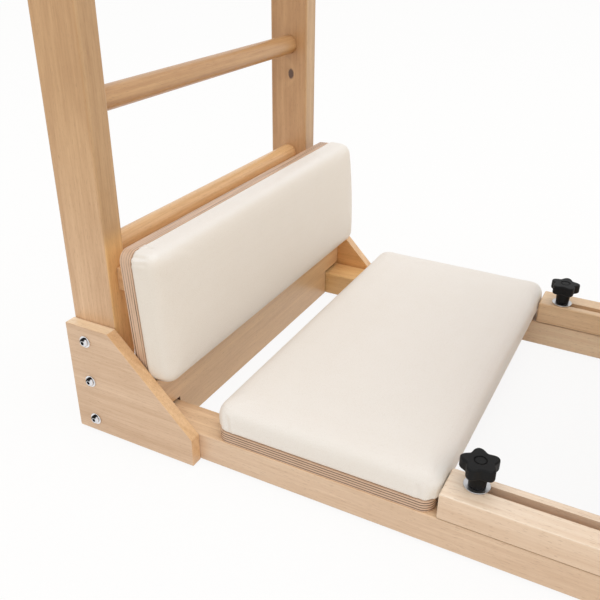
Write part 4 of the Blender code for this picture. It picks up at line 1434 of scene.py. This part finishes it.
@dataclass
class Upholstery:
    """Foam under stretched vinyl: a rolled form, swollen by simulation and creased."""

    cover: Vinyl
    wall: float = 0.046
    crown: float = 0.003
    roll: float = 0.021
    corner: float = 0.026
    least_corner: float = 0.004
    drawn_in: float = 0.0010
    fullest: float = 0.35
    side_steps: int = 6
    roll_steps: int = 8
    top_steps: int = 5
    top_share: float = 0.9           # of the half width, covered by the top's rings
    voxel: float = 0.005
    pressure: float = 4.0
    most_swell: float = 0.0018
    shy: float = 0.0015              # how much smaller than its size the foam starts
    held_height: float = 0.004       # below this the cover is held by its board
    frames: int = 20

    def levels(self, half: float) -> list[Flat]:
        """The rings of the form.

        Args:
            half: Half the form's width.

        Returns:
            (inset, height) of each ring, from its foot to the middle of its top.
        """
        straight = self.wall - self.roll
        rings = []
        for step in range(self.side_steps + 1):
            share = step / self.side_steps
            foot, reach = 0.0, 1 - self.fullest
            if share < self.fullest:
                foot, reach = self.drawn_in, self.fullest
            swell = 1 - ((share - self.fullest) / reach) ** 2
            rings.append((foot * (1 - swell), straight * share))
        for step in range(1, self.roll_steps + 1):
            angle = QUARTER * step / self.roll_steps
            rings.append((self.roll * (1 - math.cos(angle)),
                          straight + self.roll * math.sin(angle)))
        for step in range(1, self.top_steps + 1):
            inset = self.roll + (half - self.roll) * self.top_share * step / self.top_steps
            rise = self.crown * math.sin(QUARTER * step / self.top_steps)
            rings.append((inset, self.wall + rise))
        return rings

    def form(self, name: str, half_u: float, half_v: float) -> Object:
        """The flat form with its foot at height 0 and its long side on X.

        Args:
            name: The object's name.
            half_u: Half its length.
            half_v: Half its width.

        Returns:
            The form.
        """
        rings = []
        for inset, height in self.levels(half_v - self.shy):
            inset += self.shy
            u, v = half_u - inset, half_v - inset
            outline = oblong((-u, -v), (u, v), max(self.corner - inset, self.least_corner), 8)
            rings.append([(x, y, height * (1 - self.shy / self.wall)) for x, y in outline])
        return Bench.loft(name, rings)

    def swell(self, obj: Object) -> Object:
        """Remesh the form and blow it up a little under its cover.

        Args:
            obj: The form.

        Returns:
            The same object.
        """
        Bench.apply(obj, "REMESH", mode="VOXEL", voxel_size=self.voxel, adaptivity=0.0)
        Bench.apply(obj, "SMOOTH", factor=0.5, iterations=8)
        self.simulate(obj)
        Bench.apply(obj, "SMOOTH", factor=0.5, iterations=3)
        return Bench.apply(obj, "SUBSURF", levels=1, render_levels=1)

    def simulate(self, obj: Object) -> None:
        """Run the cloth from frame 1 and keep each point's capped move.

        Args:
            obj: The form.
        """
        start = self.read(obj.data.vertices)
        held = obj.vertex_groups.new(name="held")
        low = np.nonzero(start[:, 2] < self.held_height)[0]
        held.add([int(i) for i in low], 1.0, "REPLACE")
        cloth = obj.modifiers.new("cover", "CLOTH")
        cloth.settings.quality = 5
        cloth.settings.mass = 0.3
        cloth.settings.use_pressure = True
        cloth.settings.uniform_pressure_force = self.pressure
        cloth.settings.effector_weights.gravity = 0.0
        cloth.settings.vertex_group_mass = "held"
        cloth.point_cache.frame_start = 1
        cloth.point_cache.frame_end = self.frames
        for number in range(1, self.frames + 1):
            bpy.context.scene.frame_set(number)
        seen = obj.evaluated_get(bpy.context.evaluated_depsgraph_get()).data
        move = self.read(seen.vertices) - start
        obj.modifiers.remove(cloth)
        obj.vertex_groups.clear()
        bpy.context.scene.frame_set(1)
        length = np.maximum(np.linalg.norm(move, axis=1, keepdims=True), 1e-9)
        self.put(obj, start + move * np.minimum(1.0, self.most_swell / length))

    def fit(self, obj: Object, half_u: float, half_v: float) -> None:
        """Bring the swollen form back to its measured size.

        Args:
            obj: The form.
            half_u: Half its length.
            half_v: Half its width.
        """
        points = self.read(obj.data.vertices)
        for axis, half in ((0, half_u), (1, half_v)):
            low, high = points[:, axis].min(), points[:, axis].max()
            points[:, axis] = (points[:, axis] - (low + high) / 2) * (2 * half / (high - low))
        height = self.wall + self.crown
        points[:, 2] = (points[:, 2] - points[:, 2].min()) * (height / np.ptp(points[:, 2]))
        self.put(obj, points)

    @staticmethod
    def read(vertices: bpy.types.MeshVertices, what: str = "co") -> np.ndarray:
        """The places, or the normals, of a mesh's vertices.

        Args:
            vertices: The vertices.
            what: The name of what is read.

        Returns:
            One row for each vertex.
        """
        values = np.empty(len(vertices) * 3)
        vertices.foreach_get(what, values)
        return values.reshape(-1, 3)

    @staticmethod
    def put(obj: Object, points: np.ndarray) -> None:
        """Move a mesh's vertices to new places."""
        obj.data.vertices.foreach_set("co", points.ravel())
        obj.data.update()

    def crease(self, obj: Object, folds: Sequence[Fold]) -> None:
        """Press folds into the cover, each a groove with a low ridge round it.

        Args:
            obj: The cushion, still flat.
            folds: The folds.
        """
        points = self.read(obj.data.vertices)
        normals = self.read(obj.data.vertices, "normal")
        shift = np.zeros(len(points))
        for fold in folds:
            a, b = np.array(fold.start), np.array(fold.end)
            along = np.clip(((points - a) @ (b - a)) / ((b - a) @ (b - a)), 0.0, 1.0)
            away = np.linalg.norm(points - (a + along[:, None] * (b - a)), axis=1) / fold.width
            fade = np.sin(np.pi * np.clip(along * 0.86 + 0.14, 0.0, 1.0)) ** 0.5
            ridge = fold.ridge * np.exp(-((away - fold.ridge_place) ** 2) * fold.ridge_sharpness)
            shift -= fold.depth * fade * (np.exp(-away ** 2) - ridge)
        self.put(obj, points + normals * shift[:, None])

    def corner_folds(self, half_u: float, half_v: float) -> list[Fold]:
        """The small gathers at the four corners of a pad.

        Args:
            half_u: Half the pad's length.
            half_v: Half its width.

        Returns:
            Two folds for each corner.
        """
        folds = []
        reach = self.corner * (1 - math.sqrt(0.5))
        for sign_u in (-1, 1):
            for sign_v in (-1, 1):
                u, v = sign_u * (half_u - reach), sign_v * (half_v - reach)
                folds.append(Fold((u, v, 0.001),
                                  (u - sign_u * 0.004, v - sign_v * 0.004, self.wall * 0.62),
                                  0.0016, 0.0034))
                folds.append(Fold((u - sign_u * 0.016, v + sign_v * 0.005, 0.001),
                                  (u - sign_u * 0.024, v + sign_v * 0.003, self.wall * 0.45),
                                  0.0010, 0.0030))
        return folds

    def make(self, name: str, half: Flat, place: Callable[[np.ndarray], np.ndarray], body: str,
             node: str, folds: Sequence[Fold] = (), fill: float = 0.9) -> None:
        """Make a cushion and put it in its place.

        Args:
            name: The piece's name.
            half: Half its length and half its width.
            place: Carries flat points to the object's frame.
            body: The body that it moves with.
            node: The CAD node that it replaces.
            folds: Folds beside those of the corners.
            fill: How tightly it is filled; not used.
        """
        obj = self.swell(self.form(name, *half))
        self.fit(obj, *half)
        self.crease(obj, [*self.corner_folds(*half), *folds])
        self.put(obj, place(self.read(obj.data.vertices)))
        Bench.settle(obj, self.cover, body, node, angle=80, weighted=False)


@dataclass
class BackPad:
    """The leaning pad: plywood, cushion and the batten behind it."""

    foot: Point = (-0.6103, 0.0, 0.1176)
    height: float = 0.2106
    lean: float = math.radians(3.65)
    ply: float = 0.0195
    corner: float = 0.018
    cushion_half: Flat = (0.3332, 0.1080)
    cushion_shift: float = 0.0008
    cushion_drop: float = 0.0010
    bulge: float = 0.0080            # how far the far end swells lengthwise
    bulge_start: float = 0.27
    bulge_out: float = 0.0042        # how far the far end swells forwards
    swell_start: float = 0.12
    swell_run: float = 0.18
    bulge_power: float = 2.4
    bulge_height: float = 0.030      # over which both rise from the board

    def build(self) -> None:
        """Make the board and the cushion and dress the batten."""
        up = np.array((-math.sin(self.lean), 0.0, math.cos(self.lean)))
        out = np.array((math.cos(self.lean), 0.0, math.sin(self.lean)))
        side = np.array((0.0, 1.0, 0.0))
        middle = np.array(self.foot) + up * self.height / 2
        half = (BOARD_HALF, self.height / 2)
        outline = oblong((-half[0], -half[1]), half, self.corner, 10)
        board = Bench.slab("back_pad_ply", outline, Grain.ALONG_Z, 0.0, self.ply)
        Bench.soften(board, 0.0012, 2)
        turn = np.eye(4)
        turn[:3] = np.column_stack((side, up, out, middle))
        board.data.transform(Matrix(turn.tolist()))
        finish = Plywood("back_pad_plies", Grain.ALONG_Y, tuple(out), float(middle @ out), self.ply)
        Bench.settle(board, finish, "base", "back_pad_board")
        Bench.dress(BATTEN_BEECH, "pad_batten")

        def place(points: np.ndarray) -> np.ndarray:
            """Carry the flat form to the leaning pad, with its far end swollen.

            Args:
                points: The flat form's points.

            Returns:
                Their places on the pad.
            """
            u, v, w = points[:, :1], points[:, 1:2], points[:, 2:]
            reach = self.cushion_half[0] - self.bulge_start
            share = np.clip((u - self.bulge_start) / reach, 0.0, 1.0)
            fullness = 1.0 - np.clip(np.abs(v) / self.cushion_half[1], 0.0, 1.0) ** self.bulge_power
            lifted = np.clip(w / self.bulge_height, 0.0, 1.0)
            run = u + self.cushion_shift + self.bulge * share ** 2 * fullness * lifted
            outer = np.clip((u - self.swell_start) / self.swell_run, 0.0, 1.0)
            swell = self.bulge_out * outer * outer * (3.0 - 2.0 * outer) * fullness * lifted
            front = w + (self.ply + GAP) + swell
            return middle + run * side + (v - self.cushion_drop) * up + front * out

        folds = (Fold((-0.302, 0.1050, 0.002), (-0.301, 0.1073, 0.022), 0.0042, 0.0022),
                 Fold((-0.3254, 0.0902, 0.002), (-0.3270, 0.0920, 0.029), 0.0026, 0.0028))
        cushion = Upholstery(PAD_VINYL, voxel=0.004, roll=0.0180, corner=0.023, drawn_in=0.0012,
                             fullest=0.4)
        cushion.make("back_cushion", self.cushion_half, place, "base", "back_pad_cushion", folds)


@dataclass
class Deck:
    """The padded deck between ladder and barrel, with its guides."""

    start: float = -0.4715
    end: float = -0.1345
    ply: float = 0.018
    corner: float = 0.018
    cushion_middle: float = -0.3022
    cushion_half: Flat = (0.330, 0.1733)

    def build(self) -> None:
        """Make the board and the cushion and dress the guides."""
        bottom, top = BEAM_BOTTOM, BEAM_BOTTOM + self.ply
        outline = oblong((self.start, -BOARD_HALF), (self.end, BOARD_HALF), self.corner, 10)
        board = Bench.slab("deck_ply", outline, Grain.ALONG_Z, bottom, top)
        Bench.soften(board, 0.0012, 2)
        finish = Plywood("deck_plies", Grain.ALONG_Y, start=bottom, thickness=self.ply)
        Bench.settle(board, finish, "deck", "deck_board")
        Bench.dress(RAIL_BEECH, *(f"deck_cleat_{side.word}" for side in Side))

        def place(points: np.ndarray) -> np.ndarray:
            """From the flat form to the deck."""
            u, v, w = points.T
            return np.column_stack((self.cushion_middle + v, u, w + (top + GAP)))

        folds = (Fold((-0.3299, 0.1490, 0.004), (-0.3299, 0.1460, 0.026), 0.0022, 0.0036),
                 Fold((-0.3293, -0.1460, 0.006), (-0.3282, -0.1518, 0.032), 0.0022, 0.0036))
        Upholstery(DECK_VINYL).make("deck_pad", self.cushion_half, place, "deck", "deck_cushion",
                                    folds)


@dataclass
class Clamps:
    """Star knobs and their big washers on the two studs."""

    washer_radius: float = 0.018
    washer_thickness: float = 0.002
    washer_rim: float = 0.0006
    knob_foot: float = 0.0962
    height: float = 0.040
    head: float = 0.0175
    tip: float = 0.0268
    valley: float = 0.0196
    lobes: int = 5
    lobe_steps: int = 20
    sharpness: float = 0.9
    edge: float = 0.0030
    hub: tuple[Flat, ...] = ((0.0113, 0.0), (0.0118, 0.0006), (0.0120, 0.004), (0.0127, 0.014),
                             (0.0134, 0.020), (0.0145, 0.0222))
    hub_top: float = 0.0150
    hub_bite: float = 0.004          # how far the hub reaches up into the head
    bore_height: float = 0.028
    turns: tuple[float, float] = (38.0, 17.0)

    def outline(self) -> list[Flat]:
        """The lobed outline of a star knob.

        Returns:
            Its points.
        """
        points = []
        count = self.lobes * self.lobe_steps
        for step in range(count):
            angle = 2 * math.pi * step / count
            lobe = ((1 + math.cos(self.lobes * angle)) / 2) ** self.sharpness
            radius = self.valley + (self.tip - self.valley) * lobe
            points.append((radius * math.cos(angle), radius * math.sin(angle)))
        return points

    def knob(self) -> Object:
        """One star knob about Z with its foot at 0.

        Returns:
            The knob, with its bore, and a ring and a dish in its top.
        """
        top, head_foot = self.height, self.height - self.head
        head = Bench.slab("star", self.outline(), Grain.ALONG_Z, head_foot, top)
        Bench.soften(head, self.edge, 5, 50)
        hub = Bench.turned("hub", [*self.hub, (self.hub_top, head_foot + self.hub_bite)], 48)
        Bench.merge(head, "UNION", hub)
        bore = Bench.rod("bore", STUD_HOLE, (0, 0, -SPARE), (0, 0, self.bore_height), 32)
        ring = Bench.hoop("ring", [(0.0088, top - 0.0014), (0.0090, top + 0.002),
                                   (0.0070, top + 0.002), (0.0072, top - 0.0014),
                                   (0.0080, top - 0.0018)], 48)
        dish = Bench.turned("dish", [(0.0070, top - 0.0005), (0.0080, top + 0.002)], 48)
        Bench.carve(head, bore, ring, dish)
        return Bench.soften(head, 0.0005, 2, 60)

    def washer(self) -> Object:
        """One big washer about Z with its foot at 0.

        Returns:
            The washer.
        """
        outer, thick, rim, bore = (self.washer_radius, self.washer_thickness, self.washer_rim,
                                   STUD_HOLE)
        return Bench.hoop("big_washer", [(outer, rim), (outer, thick - rim),
                                         (outer - rim * 0.4, thick - rim * 0.3),
                                         (outer - rim, thick), (bore + rim / 2, thick),
                                         (bore, thick - rim / 2), (bore, rim / 2),
                                         (bore + rim / 2, 0.0), (outer - rim, 0.0)], 72)

    def build(self) -> None:
        """Make one clamp and copy it to both sides."""
        knob, washer = self.knob(), self.washer()
        for side, degrees in zip(Side, self.turns):
            spot = (STUD_X, side.sign * STUD_Y)
            turn = Matrix.Rotation(math.radians(degrees), 4, "Z")
            piece = Bench.copy(knob, f"knob_{side.word}_moulded",
                               Matrix.Translation((*spot, self.knob_foot)) @ turn)
            Bench.settle(piece, BLACK, f"knob_{side.word}", f"star_knob_{side.word}", angle=40)
            piece = Bench.copy(washer, f"big_washer_{side.word}",
                               Matrix.Translation((*spot, BEAM_TOP + GAP)))
            Bench.settle(piece, WASHER_STEEL, "base", f"clamp_washer_{side.word}", angle=40)
        Bench.discard(knob, washer)


@dataclass
class SlidingBarrel:
    """The barrel's carriage: slotted beams, windowed sides, bent shell and its cushion."""

    x: float = 0.3645
    z: float = 0.5603
    radius: float = 0.310
    side_inner: float = 0.2464
    foot_half: float = 0.240
    keel: float = 0.0246
    keel_corner: float = 0.012
    window: float = 0.170
    window_halves: Flat = (0.193, 0.164)     # of the lower window's top and foot
    window_heights: Flat = (0.3353, 0.1503)
    window_corner: float = 0.045
    window_cut: Flat = (-0.30, -0.20)        # where the windows' tools start and end on Y
    skirt: float = 0.080
    shell: float = 0.008
    shell_edge: float = 0.0015
    shell_steps: int = 110
    shell_play: float = 0.0007               # between the shell and its cushion
    pad_wall: float = 0.039
    beam_start: float = -0.1275
    beam_end: float = 0.7075
    beam_inner: float = 0.2687
    beam_edge: float = 0.003
    slot_start: float = -0.0938
    slot_end: float = 0.1262
    slot_half: float = 0.0075
    bolt_reach: float = 0.170
    bolt_z: float = 0.0731
    bolt_shank: float = 0.0786
    bolt_depth: float = 0.0789
    body: str = "barrel_carriage"
    low: float = field(init=False)

    def __post_init__(self) -> None:
        """Work out the angle below the axis at which a straight leg leaves the arc."""
        foot = Vector((self.foot_half, BEAM_TOP - self.z))
        self.low = -math.atan2(foot.y, foot.x) - math.acos(self.radius / foot.length)

    def reach(self) -> float:
        """Length of the skin from the crest to its end."""
        return self.bent() + self.skirt

    def bent(self) -> float:
        """Length of the skin from the crest to the end of the arc."""
        return self.radius * (math.pi / 2 + self.low)

    def path(self, run: np.ndarray, out: np.ndarray) -> tuple[np.ndarray, np.ndarray]:
        """X and Z on the skin.

        Args:
            run: Length from the crest at the sides' radius.
            out: Distance outside that radius.

        Returns:
            X and Z in the object's frame.
        """
        length = np.abs(run)
        angle = math.pi / 2 - np.minimum(length, self.bent()) / self.radius
        rest = np.maximum(length - self.bent(), 0.0)
        x = (self.radius + out) * np.cos(angle) + rest * np.sin(angle)
        z = (self.radius + out) * np.sin(angle) - rest * np.cos(angle)
        return self.x + np.where(run < 0, -1.0, 1.0) * x, self.z + z

    def build(self) -> None:
        """Make and dress the carriage."""
        self.build_beams()
        self.build_sides()
        self.build_shell()
        self.build_bolts()
        Bench.dress(INNER_BEECH, *(f"barrel_batten_{number}" for number in range(1, 6)),
                    *(f"barrel_stretcher_{number}" for number in (1, 2)))
        self.build_cushion()

    def bolt_places(self) -> tuple[float, float]:
        """X of the two bolts on each side."""
        return self.x - self.bolt_reach, self.x + self.bolt_reach

    def build_bolts(self) -> None:
        """The bolts that hold the sides to the beams."""
        bolt = Fastener().bolt("side_screw", self.bolt_shank)
        for side in Side:
            for number, x in enumerate(self.bolt_places(), 1):
                seat = side.seat(x, RAIL_OUTER + GAP, self.bolt_z)
                piece = Bench.copy(bolt, f"side_screw_{side.word}_{number}", seat)
                Bench.settle(piece, SOCKET_STEEL, self.body, f"side_bolt_{side.word}_{number}")
        Bench.discard(bolt)

    def drills(self) -> list[Object]:
        """Drills for the two bolts on the right side."""
        return [Bench.drill(x, self.bolt_z, RAIL_OUTER, self.bolt_depth)
                for x in self.bolt_places()]

    def build_beams(self) -> None:
        """The beams with their slots for the clamp studs."""
        beam = Bench.block("slotted_beam_right", (self.beam_start, -RAIL_OUTER, BEAM_BOTTOM),
                           (self.beam_end, -self.beam_inner, BEAM_TOP))
        Bench.soften(beam, self.beam_edge, 4)
        outline = oblong((self.slot_start, -STUD_Y - self.slot_half),
                         (self.slot_end, -STUD_Y + self.slot_half), self.slot_half * 0.999, 12)
        slot = Bench.slab("slot", outline, Grain.ALONG_Z, BEAM_BOTTOM - 0.02, BEAM_TOP + 0.02)
        Bench.carve(beam, slot, *self.drills())
        Bench.settle_pair(beam, (BEAM_BEECH, FAR_BEAM_BEECH), self.body, "slide_beam")

    def side_outline(self) -> list[Flat]:
        """The outline of a barrel side: its arc, its legs and its keel.

        Returns:
            The outline's points in X and Z.
        """
        bottom, corner, half = self.keel, self.keel_corner, self.foot_half
        turns = arc((0, 0), self.radius, -self.low, math.pi + self.low, 96)
        outline = [(self.x + x, self.z + z) for x, z in turns]
        outline.append((self.x - half, BEAM_TOP))
        outline += arc((self.x - half + corner, bottom + corner), corner, math.pi,
                       1.5 * math.pi, 6)
        outline += arc((self.x + half - corner, bottom + corner), corner, 1.5 * math.pi,
                       2 * math.pi, 6)
        outline.append((self.x + half, BEAM_TOP))
        return outline

    def build_sides(self) -> None:
        """The arched plywood sides with a round and a lower window."""
        panel = Bench.slab("arched_side_right", self.side_outline(), Grain.ALONG_Y, -CLEAR_INSIDE,
                           -self.side_inner)
        circle = arc((self.x, self.z), self.window, 0, 2 * math.pi, 96)[:-1]
        (top_half, foot_half), (top, foot) = self.window_halves, self.window_heights
        lower = rounded([(self.x + half, height, self.window_corner)
                         for half, height in ((top_half, top), (-top_half, top),
                                              (-foot_half, foot), (foot_half, foot))], 12)
        Bench.carve(panel, *(Bench.slab("window", outline, Grain.ALONG_Y, *self.window_cut)
                             for outline in (circle, lower)))
        Bench.soften(panel, 0.002, 3, 50)
        Bench.carve(panel, *self.drills())
        thick = CLEAR_INSIDE - self.side_inner
        finishes = [Plywood(f"side_plies_{side.word}", Grain.ALONG_Z, (0.0, float(side.sign), 0.0),
                            self.side_inner, thick, 6.38) for side in Side]
        Bench.settle_pair(panel, finishes, self.body, "barrel_side")

    def build_shell(self) -> None:
        """The bent plywood shell, with its depth kept for the plies on its edges."""
        inner, outer, edge = GAP, GAP + self.shell, self.shell_edge
        half, flat = CLEAR_INSIDE, CLEAR_INSIDE - edge
        section = [(-flat, inner), (flat, inner), (half, inner + edge), (half, outer - edge),
                   (flat, outer), (-flat, outer), (-half, outer - edge), (-half, inner + edge)]
        reach, bent, steps = self.reach(), self.bent(), self.shell_steps
        runs = [-reach, -bent, *(bent * (2 * step / steps - 1) for step in range(1, steps)),
                bent, reach]
        rings = []
        for run in runs:
            places = [self.path(np.array(run), np.array(out)) for _, out in section]
            rings.append([(float(x), y, float(z)) for (x, z), (y, _) in zip(places, section)])
        obj = Bench.loft("bent_shell", rings)
        depth = obj.data.attributes.new("ply_depth", "FLOAT", "POINT")
        for vertex, item in zip(obj.data.vertices, depth.data):
            item.value = (self.depth_of(vertex.co) - inner) / self.shell
        finish = Plywood("shell_plies", Grain.ALONG_Y, depth_name="ply_depth", pairs=3.38)
        Bench.settle(obj, finish, self.body, "barrel_shell", weighted=False)

    def depth_of(self, point: Vector) -> float:
        """Distance of a place from the sides' radius.

        Args:
            point: The place.

        Returns:
            The distance, which is positive outside.
        """
        x, z = abs(point.x - self.x), point.z - self.z
        if math.atan2(z, x) >= -self.low:
            return math.hypot(x, z) - self.radius
        return x * math.cos(self.low) - z * math.sin(self.low) - self.radius

    def build_cushion(self) -> None:
        """The long cushion, swollen flat and then wrapped over the shell."""
        foot = GAP + self.shell + self.shell_play

        def place(points: np.ndarray) -> np.ndarray:
            """From the flat form to the barrel's skin."""
            x, z = self.path(points[:, 0], points[:, 2] + foot)
            return np.column_stack((x, points[:, 1], z))

        cushion = Upholstery(BARREL_VINYL, wall=self.pad_wall, voxel=0.0075, most_swell=0.005)
        cushion.make("barrel_pad", (self.reach(), CLEAR_INSIDE), place, self.body,
                     "barrel_cushion")


# ---------------------------------------------------------------- studio


@dataclass
class Studio:
    """Pale floor, soft light and the photograph's camera."""

    lens: float = 44.66
    place: Point = (0.0523, -1.0611, 0.7598)
    azimuth: float = math.radians(27.64)
    pitch: float = math.radians(27.76)
    roll: float = math.radians(0.457)
    ambient: float = 0.82
    sky: Colour = (1.0, 0.995, 0.985)
    floor_size: float = 40.0
    floor_tones: tuple[Colour, Colour] = ((0.90, 0.87, 0.82), (0.94, 0.91, 0.86))
    floor_white: float = 0.90        # the share of plain white; the rest keeps the shadow
    lamp_place: Point = (1.7, -0.7, 6.2)
    lamp_aim: Point = (-0.2, 0.0, 0.25)
    lamp_size: float = 5.4
    lamp_power: float = 138.0

    def build(self) -> None:
        """Set floor, world, lamp and camera."""
        bpy.context.scene.view_settings.view_transform = "Standard"
        self.build_floor()
        self.build_world()
        self.build_lamp()
        self.build_camera()

    def build_floor(self) -> None:
        """The floor, nearly white to the camera, which keeps the object's shadow."""
        Bench.clear()
        bpy.ops.mesh.primitive_plane_add(size=self.floor_size)
        floor = Bench.added("studio_floor")
        g = Graph(bpy.data.materials.new("studio_floor"))
        tone = g.mix(g.noise(g.place(), 60.0), *self.floor_tones)
        paint = g.node("ShaderNodeBsdfDiffuse", None, {"Color": tone})
        white = g.node("ShaderNodeEmission", None, {"Color": WHITE, "Strength": 1.0})
        shader = g.node("ShaderNodeMixShader", None,
                        {0: g.seen() * self.floor_white, 1: paint, 2: white})
        floor.data.materials.append(g.end(shader))

    def build_world(self) -> None:
        """Even light, and white for what the camera and polished metal see."""
        world = bpy.data.worlds.new("studio_world")
        bpy.context.scene.world = world
        g = Graph(world, "ShaderNodeOutputWorld")
        light, white = (g.node("ShaderNodeBackground", None, {"Color": colour, "Strength": power})
                        for colour, power in ((self.sky, self.ambient), (WHITE, 1.0)))
        g.end(g.node("ShaderNodeMixShader", None, {0: g.seen(), 1: light, 2: white}))

    def build_lamp(self) -> None:
        """One broad square lamp high over the object."""
        Bench.clear()
        bpy.ops.object.light_add(type="AREA", location=self.lamp_place)
        lamp = bpy.context.object
        lamp.name = "key_lamp"
        lamp.data.shape = "SQUARE"
        lamp.data.size = self.lamp_size
        lamp.data.energy = self.lamp_power
        aim = Vector(self.lamp_aim) - Vector(self.lamp_place)
        lamp.rotation_euler = aim.to_track_quat("-Z", "Y").to_euler()

    def build_camera(self) -> None:
        """The camera that was solved from the photograph."""
        data = bpy.data.cameras.new("photo_camera")
        data.sensor_width = 36.0
        data.lens = self.lens
        camera = bpy.data.objects.new("photo_camera", data)
        bpy.context.scene.collection.objects.link(camera)
        ahead = Vector((-math.sin(self.azimuth) * math.cos(self.pitch),
                        math.cos(self.azimuth) * math.cos(self.pitch), -math.sin(self.pitch)))
        right = ahead.cross(Vector((0, 0, 1))).normalized()
        up = right.cross(ahead)
        turned = right * math.cos(self.roll) + up * math.sin(self.roll)
        raised = up * math.cos(self.roll) - right * math.sin(self.roll)
        matrix = Matrix((turned, raised, -ahead)).transposed().to_4x4()
        matrix.translation = Vector(self.place)
        camera.matrix_world = matrix
        bpy.context.scene.camera = camera


def main() -> None:
    """Build every sub-assembly in order."""
    logging.basicConfig(level=logging.INFO, format="%(name)s: %(message)s")
    for part in (BaseFrame(), Ladder(), Gussets(), BackPad(), Deck(), Clamps(), SlidingBarrel(),
                 Studio()):
        LOG.info("building %s", type(part).__name__)
        part.build()
    Bench.clear()


if __name__ == "__main__":
    main()
